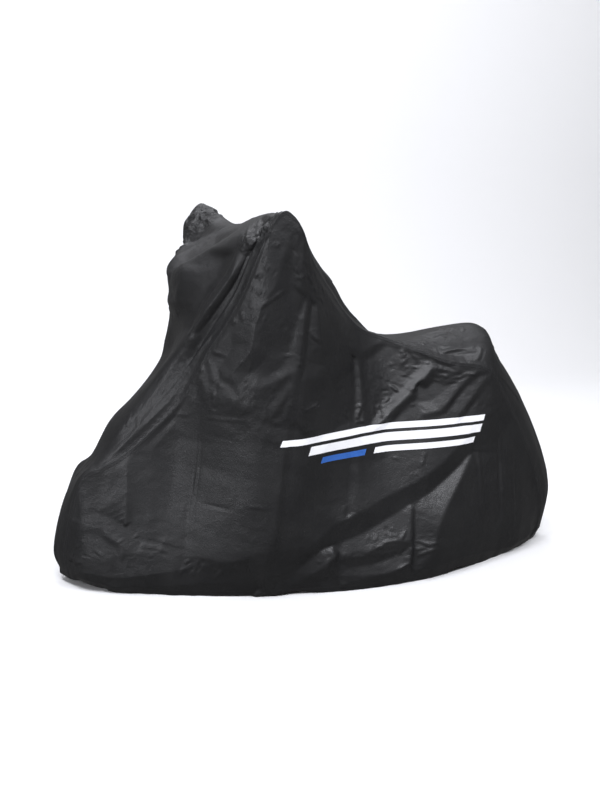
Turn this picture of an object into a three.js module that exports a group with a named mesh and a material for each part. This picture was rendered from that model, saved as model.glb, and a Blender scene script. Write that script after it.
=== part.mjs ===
// Fitted motorcycle cover, draped as it sits over the machine and hollow inside.
// Millimetres, +Z up, front wheel end at -X, rider's left side at -Y.
// Three cloth panels are sewn together along the two ridge lines: a left side panel, a right side
// panel and one long centre panel from the nose over handlebars, tank and seat to the tail.
import * as THREE from 'three';

// Driving sizes.
const CLOTH = 2.0;                    // built thickness of the coated cloth
const SEAM_GAP = 0.4;                 // space between two panels at their seam
const CENTRE = { x: 12.5, y: 6.97 };   // moves the middle of the whole cover to X = 0, Y = 0
const SIDE_STEPS = { along: 54, up: 13 };
const TOP_STEPS = { along: 54, across: 14 };

// Cross sections from nose to tail. Each row is one section:
// hem = the elasticated edge on the ground, knee = the seam ridge, dip and rib = the trough and
// the second ridge inside it. Half widths are positive to either side.
const LEFT_SECTIONS = [
  { place: 'nose',         hem: [-881, 60],  knee: [-887, 62, 45],   dip: [-900, 34, 45],   rib: [-907, 14, 45] },
  { place: 'wheel low',    hem: [-860, 86],  knee: [-886, 74, 150],  dip: [-904, 50, 150],  rib: [-914, 25, 147] },
  { place: 'wheel front',  hem: [-820, 124], knee: [-838, 100, 361], dip: [-848, 80, 352],  rib: [-856, 45, 335] },
  { place: 'wheel top',    hem: [-750, 168], knee: [-762, 124, 412], dip: [-772, 102, 425], rib: [-777, 65, 430] },
  { place: 'mudguard',     hem: [-690, 193], knee: [-686, 140, 460], dip: [-700, 122, 490], rib: [-708, 92, 530] },
  { place: 'fork low',     hem: [-600, 230], knee: [-552, 170, 587], dip: [-588, 140, 605], rib: [-628, 102, 635] },
  { place: 'fork',         hem: [-540, 253], knee: [-491, 203, 680], dip: [-512, 165, 695], rib: [-550, 130, 746] },
  { place: 'lamp low',     hem: [-480, 276], knee: [-442, 240, 790], dip: [-452, 205, 805], rib: [-483, 180, 853] },
  { place: 'lamp',         hem: [-425, 296], knee: [-392, 282, 878], dip: [-398, 250, 895], rib: [-440, 220, 938] },
  { place: 'lamp top',     hem: [-375, 311], knee: [-345, 322, 980], dip: [-352, 290, 985], rib: [-400, 250, 1008] },
  { place: 'lever low',    hem: [-345, 319], knee: [-308, 352, 1080], dip: [-318, 318, 1080], rib: [-360, 275, 1072] },
  { place: 'lever',        hem: [-315, 326], knee: [-275, 371, 1162], dip: [-282, 325, 1155], rib: [-325, 270, 1148] },
  { place: 'grip front',   hem: [-283, 333], knee: [-232, 380, 1225], dip: [-251, 300, 1217], rib: [-251, 190, 1204] },
  { place: 'grip back',    hem: [-235, 341], knee: [-198, 380, 1214], dip: [-213, 300, 1208], rib: [-213, 190, 1188] },
  { place: 'behind grip',  hem: [-190, 347], knee: [-165, 378, 1165], dip: [-160, 310, 1165], rib: [-145, 200, 1150] },
  { place: 'shoulder',     hem: [-140, 353], knee: [-123, 334, 1075], dip: [-105, 270, 1088], rib: [-78, 160, 1083] },
  { place: 'tank front',   hem: [-75, 358],  knee: [-42, 250, 974],  dip: [-22, 200, 986],  rib: [2, 120, 992] },
  { place: 'tank',         hem: [0, 361],    knee: [25, 200, 896],   dip: [42, 150, 902],   rib: [60, 85, 905] },
  { place: 'tank back',    hem: [80, 360],   knee: [100, 155, 832],  dip: [120, 115, 832],  rib: [140, 65, 823] },
  { place: 'seat low',     hem: [165, 354],  knee: [190, 135, 797],  dip: [200, 100, 786],  rib: [210, 55, 774] },
  { place: 'seat',         hem: [270, 337],  knee: [307, 160, 753],  dip: [318, 115, 768],  rib: [330, 60, 780] },
  { place: 'pillion seat', hem: [395, 294],  knee: [414, 170, 712],  dip: [432, 125, 758],  rib: [460, 65, 790] },
  { place: 'tail corner',  hem: [515, 233],  knee: [556, 160, 683],  dip: [572, 122, 752],  rib: [590, 65, 792] },
  { place: 'tail',         hem: [570, 204],  knee: [606, 148, 625],  dip: [622, 112, 680],  rib: [636, 55, 715] },
  { place: 'rear slope',   hem: [640, 168],  knee: [700, 122, 470],  dip: [722, 92, 515],   rib: [738, 48, 555] },
  { place: 'rear wheel',   hem: [715, 120],  knee: [785, 95, 310],   dip: [815, 70, 335],   rib: [834, 36, 350] },
  { place: 'rear low',     hem: [766, 84],   knee: [836, 73, 160],   dip: [866, 50, 170],   rib: [886, 25, 180] },
  { place: 'rear end',     hem: [795, 60],   knee: [832, 60, 40],    dip: [855, 36, 40],    rib: [865, 15, 40] },
];

// The handlebars are turned, so the right side differs in these sections only.
const RIGHT_SECTIONS = [
  { place: 'wheel front',  hem: [-820, 124], knee: [-838, 100, 350], dip: [-850, 80, 338],  rib: [-862, 45, 318] },
  { place: 'wheel top',    hem: [-750, 168], knee: [-766, 122, 395], dip: [-775, 102, 405], rib: [-780, 65, 413] },
  { place: 'mudguard',     hem: [-690, 193], knee: [-690, 137, 450], dip: [-702, 118, 475], rib: [-708, 85, 515] },
  { place: 'fork low',     hem: [-600, 230], knee: [-570, 167, 570], dip: [-600, 138, 580], rib: [-630, 100, 595] },
  { place: 'fork',         hem: [-540, 253], knee: [-480, 203, 680], dip: [-505, 165, 705], rib: [-535, 120, 725] },
  { place: 'lamp low',     hem: [-480, 276], knee: [-440, 240, 790], dip: [-464, 200, 820], rib: [-498, 130, 840] },
  { place: 'lamp',         hem: [-425, 296], knee: [-410, 285, 885], dip: [-438, 240, 915], rib: [-482, 150, 940] },
  { place: 'lamp top',     hem: [-395, 305], knee: [-400, 330, 985], dip: [-430, 280, 1000], rib: [-466, 170, 1010] },
  { place: 'lever low',    hem: [-380, 310], knee: [-398, 358, 1085], dip: [-420, 305, 1088], rib: [-444, 190, 1070] },
  { place: 'lever',        hem: [-366, 314], knee: [-384, 374, 1178], dip: [-394, 325, 1158], rib: [-398, 220, 1108] },
  { place: 'grip front',   hem: [-338, 321], knee: [-335, 380, 1235], dip: [-312, 300, 1193], rib: [-297, 190, 1166] },
  { place: 'grip back',    hem: [-300, 329], knee: [-285, 380, 1203], dip: [-268, 300, 1182], rib: [-250, 190, 1162] },
  { place: 'behind grip',  hem: [-250, 338], knee: [-250, 372, 1145], dip: [-228, 305, 1148], rib: [-195, 200, 1138] },
  { place: 'shoulder',     hem: [-180, 348], knee: [-185, 332, 1065], dip: [-155, 270, 1083], rib: [-110, 160, 1078] },
  { place: 'tank front',   hem: [-90, 357],  knee: [-75, 255, 975],  dip: [-45, 200, 988],  rib: [-12, 120, 994] },
];

// Middle line of the centre panel, x and z in each section.
const SPINE = [
  [-909, 45], [-924, 120], [-877, 300], [-790, 420], [-726, 532], [-644, 616], [-534, 735],
  [-500, 860], [-516, 945], [-515, 1018], [-478, 1050], [-398, 1096], [-277, 1168], [-205, 1150],
  [-120, 1113], [-42, 1063], [30, 992], [74, 908], [155, 809], [222, 766], [342, 783],
  [480, 805], [592, 806], [644, 720], [762, 548], [853, 360], [899, 190], [868, 40],
];

// The short ends of the centre panel on the ground: x and half width from its corner to its middle.
const NOSE_HEM = [[-881, 60], [-896, 32], [-906, 13], [-909, 0]];
const TAIL_HEM = [[795, 60], [828, 34], [845, 14], [850, 0]];

// How far a side panel bellies out between hem (0) and seam ridge (1).
const BELLY = [[0, 0], [0.06, 20], [0.14, 30], [0.3, 28], [0.5, 18], [0.8, 5], [1, 0]];
const BELLY_FULL_DROP = 400;

// Packing creases of the side panels. x where the crease crosses three heights, and how far the
// cloth stands out (+) or in (-) there; between two creases the cloth is a flat facet.
const CREASE_HEIGHTS = [600, 250, 0];
const LEFT_CREASES = [
  { x: [-950, -950, -950], out: 0 },
  { x: [-800, -850, -885], out: 3 },
  { x: [-675, -705, -733], out: 6 },
  { x: [-458, -506, -550], out: -8 },
  { x: [-214, -248, -278], out: 9 },
  { x: [84, 0, -42],       out: -3 },
  { x: [290, 240, 208],    out: -6 },
  { x: [516, 472, 424],    out: 3 },
  { x: [705, 640, 590],    out: -2 },
  { x: [950, 950, 950],    out: 0 },
];
const RIGHT_CREASES = [
  { x: [-950, -950, -950], out: 0 },
  { x: [-670, -700, -728], out: -5 },
  { x: [-470, -512, -556], out: 7 },
  { x: [-222, -250, -270], out: -8 },
  { x: [70, 10, -30],      out: 5 },
  { x: [300, 250, 214],    out: -6 },
  { x: [520, 470, 430],    out: 5 },
  { x: [700, 650, 600],    out: -3 },
  { x: [950, 950, 950],    out: 0 },
];

// Soft folds of the side panels, x and z of start, middle and end, half width and height.
const LEFT_FOLDS = [
  { name: 'tail pull',    from: [494, 371],   via: [160, 245],   to: [-206, 38],  half: 60, out: -11 },
  { name: 'seat swag',    from: [337, 679],   via: [120, 520],   to: [-63, 485],  half: 50, out: 10 },
  { name: 'tail streak',  from: [522, 504],   via: [440, 415],   to: [300, 340],  half: 34, out: 8 },
  { name: 'rear flap',    from: [500, 380],   via: [430, 250],   to: [360, 60],   half: 62, out: 11 },
  { name: 'grip hang',    from: [-110, 960],  via: [-160, 804],  to: [-190, 600], half: 46, out: 9 },
  { name: 'grip trough',  from: [-225, 1080], via: [-262, 850],  to: [-285, 690], half: 60, out: -9 },
  { name: 'low front',    from: [-649, 175],  via: [-560, 168],  to: [-442, 112], half: 45, out: 7 },
];
const RIGHT_FOLDS = [
  { name: 'tail pull',    from: [450, 400],   via: [190, 240],   to: [-100, 80],  half: 62, out: -10 },
  { name: 'seat swag',    from: [250, 650],   via: [80, 520],    to: [-90, 470],  half: 52, out: 9 },
  { name: 'grip hang',    from: [-190, 930],  via: [-215, 780],  to: [-235, 560], half: 55, out: 10 },
  { name: 'fork trough',  from: [-400, 860],  via: [-430, 640],  to: [-440, 420], half: 60, out: -9 },
  { name: 'low front',    from: [-640, 150],  via: [-520, 190],  to: [-380, 130], half: 48, out: 7 },
];

// Soft folds of the centre panel, points in space, half width and height.
const TOP_FOLDS = [
  { name: 'front band',   from: [-470, -160, 870], via: [-590, -120, 660], to: [-742, -90, 505], half: 34, out: 6 },
  { name: 'lamp crease',  from: [-500, -66, 937],  via: [-505, 30, 900],   to: [-498, 110, 850], half: 46, out: -6 },
  { name: 'tank sag',     from: [40, -80, 925],    via: [80, 0, 905],      to: [45, 90, 920],    half: 50, out: -6 },
  { name: 'seat crease',  from: [300, -90, 775],   via: [400, -10, 795],   to: [520, 70, 790],   half: 44, out: 6 },
  { name: 'tail crease',  from: [560, -60, 800],   via: [640, 10, 725],    to: [760, 40, 540],   half: 46, out: -7 },
];

// Smooth curve through a list of number rows, t counts rows.
function along(rows, t) {
  const last = rows.length - 1;
  const i = Math.min(Math.max(Math.floor(t), 0), last - 1);
  const f = t - i;
  const a = rows[Math.max(i - 1, 0)];
  const b = rows[i];
  const c = rows[i + 1];
  const d = rows[Math.min(i + 2, last)];
  const f2 = f * f;
  const f3 = f2 * f;
  return b.map((v, k) => {
    const m1 = (c[k] - a[k]) / 2;
    const m2 = (d[k] - v) / 2;
    return (2 * f3 - 3 * f2 + 1) * v + (f3 - 2 * f2 + f) * m1
      + (-2 * f3 + 3 * f2) * c[k] + (f3 - f2) * m2;
  });
}

// Straight-line reading of a short table of [position, value].
function level(table, t) {
  for (let i = 1; i < table.length; i += 1) {
    if (t <= table[i][0]) {
      const [t0, v0] = table[i - 1];
      const [t1, v1] = table[i];
      return v0 + ((v1 - v0) * (t - t0)) / (t1 - t0);
    }
  }
  return table[table.length - 1][1];
}

const ease = (t) => {
  const c = Math.min(Math.max(t, 0), 1);
  return c * c * (3 - 2 * c);
};

// Height of one soft fold at a point: full on its line, gone at its half width and both tips.
function foldAt(fold, p) {
  let best = Infinity;
  let where = 0;
  let from = fold.from;
  const steps = 10;
  for (let k = 1; k <= steps; k += 1) {
    const t = k / steps;
    const to = fold.from.map((v, i) => {
      const ctrl = 2 * fold.via[i] - (v + fold.to[i]) / 2;
      return (1 - t) * (1 - t) * v + 2 * t * (1 - t) * ctrl + t * t * fold.to[i];
    });
    const run = to.map((v, i) => v - from[i]);
    const rel = p.map((v, i) => v - from[i]);
    const len2 = run.reduce((s, v) => s + v * v, 0);
    const s = Math.min(Math.max(rel.reduce((q, v, i) => q + v * run[i], 0) / len2, 0), 1);
    const off = Math.hypot(...rel.map((v, i) => v - s * run[i]));
    if (off < best) {
      best = off;
      where = (k - 1 + s) / steps;
    }
    from = to;
  }
  if (best >= fold.half) return 0;
  const side = 1 - (best / fold.half) ** 2;
  return fold.out * side * side * Math.min(1, 4 * where, 4 * (1 - where));
}

// Flat facets between the packing creases.
function creaseAt(creases, x, z) {
  const [high, mid] = CREASE_HEIGHTS;
  const at = creases.map((c) => {
    const px = z > mid
      ? c.x[1] + ((c.x[0] - c.x[1]) * (z - mid)) / (high - mid)
      : c.x[2] + ((c.x[1] - c.x[2]) * z) / mid;
    return [px, c.out];
  });
  if (x <= at[0][0]) return at[0][1];
  return level(at, x);
}

const sectionRow = (s) => [...s.hem, ...s.knee, ...s.dip, ...s.rib];
const LEFT_ROWS = LEFT_SECTIONS.map(sectionRow);
const RIGHT_ROWS = LEFT_SECTIONS.map((s) => sectionRow(RIGHT_SECTIONS.find((r) => r.place === s.place) ?? s));
const ROWS = LEFT_ROWS.length;
const minus = (a, b) => new THREE.Vector3(a[0] - b[0], a[1] - b[1], a[2] - b[2]);

// Point of a side panel; t counts sections, w runs from hem (0) to seam (1); side is -1 left, 1 right.
function sidePoint(side, t, w) {
  const rows = side < 0 ? LEFT_ROWS : RIGHT_ROWS;
  const r = along(rows, t);
  const ahead = along(rows, Math.min(t + 0.05, ROWS - 1));
  const back = along(rows, Math.max(t - 0.05, 0));
  const run = Math.hypot(ahead[0] - back[0], ahead[1] - back[1]);
  const nx = -(ahead[1] - back[1]) / run;
  const ny = (ahead[0] - back[0]) / run;
  const knee = r.slice(2, 5);
  const drop = Math.hypot(knee[0] - r[0], knee[1] - r[1], knee[2]);
  const x = r[0] + (knee[0] - r[0]) * w;
  const y = r[1] + (knee[1] - r[1]) * w;
  const z = knee[2] * w;
  const ends = ease(t / 1.5) * ease((ROWS - 1 - t) / 1.5);
  let out = level(BELLY, w) * Math.min(1, drop / BELLY_FULL_DROP) * ends;
  const seam = ease(((1 - w) * drop) / 70);
  const folds = side < 0 ? LEFT_FOLDS : RIGHT_FOLDS;
  const creases = side < 0 ? LEFT_CREASES : RIGHT_CREASES;
  out += creaseAt(creases, x, z) * ends * seam;
  for (const f of folds) out += foldAt(f, [x, z]) * ends * seam;
  return [x + nx * out, side * (y + ny * out), z];
}

// Point of the centre panel before its folds; v runs 0 to 6 from the left seam to the right seam.
function topBase(t, v) {
  const l = along(LEFT_ROWS, t);
  const r = along(RIGHT_ROWS, t);
  const m = along(SPINE, t);
  const left = (k) => [l[k], -l[k + 1], l[k + 2]];
  const right = (k) => [r[k], r[k + 1], r[k + 2]];
  return along([left(2), left(5), left(8), [m[0], 0, m[1]], right(8), right(5), right(2)], v);
}
function endHem(hem, v) {
  const line = hem.map(([x, y]) => [x, -y, 0]);
  const other = hem.slice(0, 3).reverse().map(([x, y]) => [x, y, 0]);
  return along([...line, ...other], v);
}
function topPoint(t, v) {
  if (t < 0) return endHem(NOSE_HEM, v);
  if (t > ROWS - 1) return endHem(TAIL_HEM, v);
  const p = topBase(t, v);
  const e = 0.04;
  const du = minus(topBase(Math.min(t + e, ROWS - 1), v), topBase(Math.max(t - e, 0), v));
  const dv = minus(topBase(t, Math.min(v + e, 6)), topBase(t, Math.max(v - e, 0)));
  const n = du.cross(dv).normalize();
  const fade = ease(Math.min(v, 6 - v) / 0.8) * ease(t / 1.5) * ease((ROWS - 1 - t) / 1.5);
  const out = TOP_FOLDS.reduce((s, f) => s + foldAt(f, p), 0) * fade;
  return [p[0] + n.x * out, p[1] + n.y * out, p[2] + n.z * out];
}

const spread = (n, end) => Array.from({ length: n + 1 }, (_, k) => (end * k) / n);
const SIDE_T = spread(SIDE_STEPS.along, ROWS - 1);
const SIDE_W = [0, 0.03, 0.08, 0.15, 0.23, 0.31, 0.4, 0.49, 0.58, 0.67, 0.76, 0.85, 0.93, 1];
const TOP_T = [-1, ...spread(TOP_STEPS.along, ROWS - 1), ROWS];
const TOP_V = spread(TOP_STEPS.across, 6);

const grid = (ts, vs, point) => ts.map((t) => vs.map((v) => point(t, v)));
const leftGrid = grid(SIDE_T, SIDE_W, (t, w) => sidePoint(-1, t, w));
const rightGrid = grid(SIDE_T, SIDE_W, (t, w) => sidePoint(1, t, w));
const topGrid = grid(TOP_T, TOP_V, topPoint);

// Outward normals of a grid of points; flip is 1 or -1.
function gridNormals(g, flip) {
  return g.map((row, i) => row.map((_, j) => {
    const du = minus(g[Math.min(i + 1, g.length - 1)][j], g[Math.max(i - 1, 0)][j]);
    const dv = minus(g[i][Math.min(j + 1, row.length - 1)], g[i][Math.max(j - 1, 0)]);
    return du.cross(dv).multiplyScalar(flip).normalize();
  }));
}
const leftNormals = gridNormals(leftGrid, 1);
const rightNormals = gridNormals(rightGrid, -1);
const topNormals = gridNormals(topGrid, 1);

// Both panels at a seam share one normal, so their edge faces lie side by side.
function shareSeam(sideN, topJ) {
  const last = SIDE_W.length - 1;
  for (let i = 0; i < SIDE_T.length; i += 1) {
    const n = sideN[i][last].clone().add(topNormals[i + 1][topJ]).normalize();
    sideN[i][last] = n;
    topNormals[i + 1][topJ] = n;
  }
  for (const [i, k] of [[0, 0], [SIDE_T.length - 1, SIDE_T.length + 1]]) {
    const n = sideN[i][0].clone().add(topNormals[k][topJ]).setZ(0).normalize();
    sideN[i][0] = n;
    topNormals[k][topJ] = n;
    for (let j = 1; j < last; j += 1) sideN[i][j] = n.clone().lerp(sideN[i][last], SIDE_W[j]).normalize();
  }
}
shareSeam(leftNormals, 0);
shareSeam(rightNormals, TOP_V.length - 1);

// Closed cloth body: outer face on the grid, inner face one cloth thickness inside, edges joined.
function clothBody(g, normals, flip, hemRows) {
  const rows = g.length;
  const cols = g[0].length;
  const outer = [];
  const inner = [];
  for (let i = 0; i < rows; i += 1) {
    for (let j = 0; j < cols; j += 1) {
      const p = new THREE.Vector3(...g[i][j]);
      const n = normals[i][j].clone();
      const pull = new THREE.Vector3();
      const back = (q) => pull.add(minus(q, g[i][j]).normalize());
      if (i === 0 && !hemRows.first) back(g[1][j]);
      if (i === rows - 1 && !hemRows.last) back(g[rows - 2][j]);
      if (j === 0 && !hemRows.left) back(g[i][1]);
      if (j === cols - 1 && !hemRows.right) back(g[i][cols - 2]);
      p.addScaledVector(pull, SEAM_GAP / 2 + 0.01);
      if (p.z < 1e-6) {
        p.z = 0;
        n.setZ(0).normalize();
      }
      const q = p.clone().addScaledVector(n, -CLOTH);
      outer.push(p);
      inner.push(q);
    }
  }
  const at = (i, j) => i * cols + j;
  const shift = rows * cols;
  const index = [];
  const quad = (a, b, c, d) => index.push(a, b, c, a, c, d);
  // Both faces of the cloth are split along the same, shorter diagonal, so they stay one thickness apart.
  for (let i = 0; i < rows - 1; i += 1) {
    for (let j = 0; j < cols - 1; j += 1) {
      const q = [at(i, j), at(i + 1, j), at(i + 1, j + 1), at(i, j + 1)];
      if (flip < 0) q.reverse();
      if (outer[q[0]].distanceTo(outer[q[2]]) > outer[q[1]].distanceTo(outer[q[3]])) q.push(q.shift());
      const [a, b, c, d] = q;
      quad(a, b, c, d);
      index.push(c + shift, b + shift, a + shift, d + shift, c + shift, a + shift);
    }
  }
  const rim = [];
  for (let i = 0; i < rows - 1; i += 1) rim.push([at(i + 1, 0), at(i, 0)], [at(i, cols - 1), at(i + 1, cols - 1)]);
  for (let j = 0; j < cols - 1; j += 1) rim.push([at(0, j), at(0, j + 1)], [at(rows - 1, j + 1), at(rows - 1, j)]);
  for (const [a, b] of rim) {
    if (flip < 0) quad(b, a, a + shift, b + shift);
    else quad(a, b, b + shift, a + shift);
  }
  const pos = [];
  for (const p of [...outer, ...inner]) pos.push(p.x + CENTRE.x, p.y + CENTRE.y, p.z);
  const geometry = new THREE.BufferGeometry();
  geometry.setAttribute('position', new THREE.Float32BufferAttribute(pos, 3));
  geometry.setIndex(index);
  geometry.computeVertexNormals();
  return geometry;
}

const coatedCloth = () => new THREE.MeshStandardMaterial({ color: 0x1c1c1f, roughness: 0.5, metalness: 0 });
const group = new THREE.Group();
function addPanel(name, geometry) {
  const mesh = new THREE.Mesh(geometry, coatedCloth());
  mesh.name = name;
  group.add(mesh);
}

addPanel('side_panel_left', clothBody(leftGrid, leftNormals, 1, { left: true }));
addPanel('centre_panel', clothBody(topGrid, topNormals, 1, { first: true, last: true }));
addPanel('side_panel_right', clothBody(rightGrid, rightNormals, -1, { left: true }));

export default group;
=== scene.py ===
import math

import bpy
import numpy as np
from mathutils.geometry import delaunay_2d_cdt
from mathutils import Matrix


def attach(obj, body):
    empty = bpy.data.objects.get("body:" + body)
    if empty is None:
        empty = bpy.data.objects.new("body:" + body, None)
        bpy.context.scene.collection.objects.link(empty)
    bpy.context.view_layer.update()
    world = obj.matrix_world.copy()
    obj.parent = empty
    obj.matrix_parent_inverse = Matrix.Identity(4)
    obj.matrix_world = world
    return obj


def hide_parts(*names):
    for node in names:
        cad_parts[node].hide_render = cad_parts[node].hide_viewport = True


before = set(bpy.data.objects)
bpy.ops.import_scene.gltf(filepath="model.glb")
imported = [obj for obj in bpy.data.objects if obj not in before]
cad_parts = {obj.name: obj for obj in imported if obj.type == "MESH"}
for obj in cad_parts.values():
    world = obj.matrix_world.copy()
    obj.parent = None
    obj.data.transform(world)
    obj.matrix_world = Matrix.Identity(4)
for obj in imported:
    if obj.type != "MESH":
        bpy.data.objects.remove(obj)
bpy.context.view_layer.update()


# Left side panel. One cut of thin coated polyester, sewn to the centre panel along the ridge from
# nose to tail and gathered by elastic in its folded hem. It hangs from a high point at the grip and
# from the seat's edge; sections and folds are named after the part of the cover they are in.
# Added to every x and y, in millimetres, so that the cover stands in the middle of the frame.
MIDDLE_X = 12.5
MIDDLE_Y = 6.97
# Sections from nose to tail, in millimetres: hem x and half width, then the seam ridge (knee), the
# trough inside it (dip) and the second ridge (rib), each as x, half width, height.
LEFT_SECTIONS = {
    "nose": (-881, 60, -887, 62, 45, -900, 34, 45, -907, 14, 45),
    "wheel low": (-860, 86, -886, 74, 150, -904, 50, 150, -914, 25, 147),
    "wheel front": (-820, 124, -838, 100, 361, -848, 80, 352, -856, 45, 335),
    "wheel top": (-750, 168, -762, 124, 412, -772, 102, 425, -777, 65, 430),
    "mudguard": (-690, 193, -686, 140, 460, -700, 122, 490, -708, 92, 530),
    "fork low": (-600, 230, -552, 170, 587, -588, 140, 605, -628, 102, 635),
    "fork": (-540, 253, -491, 203, 680, -512, 165, 695, -550, 130, 746),
    "lamp low": (-480, 276, -442, 240, 790, -452, 205, 805, -483, 180, 853),
    "lamp": (-425, 296, -392, 282, 878, -398, 250, 895, -440, 220, 938),
    "lamp top": (-375, 311, -345, 322, 980, -352, 290, 985, -400, 250, 1008),
    "lever low": (-345, 319, -308, 352, 1080, -318, 318, 1080, -360, 275, 1072),
    "lever": (-315, 326, -275, 371, 1162, -282, 325, 1155, -325, 270, 1148),
    "grip front": (-283, 333, -232, 380, 1225, -251, 300, 1217, -251, 190, 1204),
    "grip back": (-235, 341, -198, 380, 1214, -213, 300, 1208, -213, 190, 1188),
    "behind grip": (-190, 347, -165, 378, 1165, -160, 310, 1165, -145, 200, 1150),
    "shoulder": (-140, 353, -123, 334, 1075, -105, 270, 1088, -78, 160, 1083),
    "tank front": (-75, 358, -42, 250, 974, -22, 200, 986, 2, 120, 992),
    "tank": (0, 361, 25, 200, 896, 42, 150, 902, 60, 85, 905),
    "tank back": (80, 360, 100, 155, 832, 120, 115, 832, 140, 65, 823),
    "seat low": (165, 354, 190, 135, 797, 200, 100, 786, 210, 55, 774),
    "seat": (270, 337, 307, 160, 753, 318, 115, 768, 330, 60, 780),
    "pillion seat": (395, 294, 414, 170, 712, 432, 125, 758, 460, 65, 790),
    "tail corner": (515, 233, 556, 160, 683, 572, 122, 752, 590, 65, 792),
    "tail": (570, 204, 606, 148, 625, 622, 112, 680, 636, 55, 715),
    "rear slope": (640, 168, 700, 122, 470, 722, 92, 515, 738, 48, 555),
    "rear wheel": (715, 120, 785, 95, 310, 815, 70, 335, 834, 36, 350),
    "rear low": (766, 84, 836, 73, 160, 866, 50, 170, 886, 25, 180),
    "rear end": (795, 60, 832, 60, 40, 855, 36, 40, 865, 15, 40),
}
LEFT_ROWS = np.array(list(LEFT_SECTIONS.values()), float)
LAST = len(LEFT_ROWS) - 1

# How far the cloth bellies out between hem (0) and seam (1), in full on a drop of this or more.
BELLY_UP = (0, 0.06, 0.14, 0.3, 0.5, 0.8, 1)
BELLY_OUT = (0, 20, 30, 28, 18, 5, 0)
FULL_DROP = 400

# Where the hem is lifted off the ground: hem x and height.
HEM_LIFT_X = (-881, -850, -800, -740, -260, -180, -100, 300, 410, 520)
HEM_LIFT = (22, 26, 14, 0, 0, 12, 0, 0, 13, 0)

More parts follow.
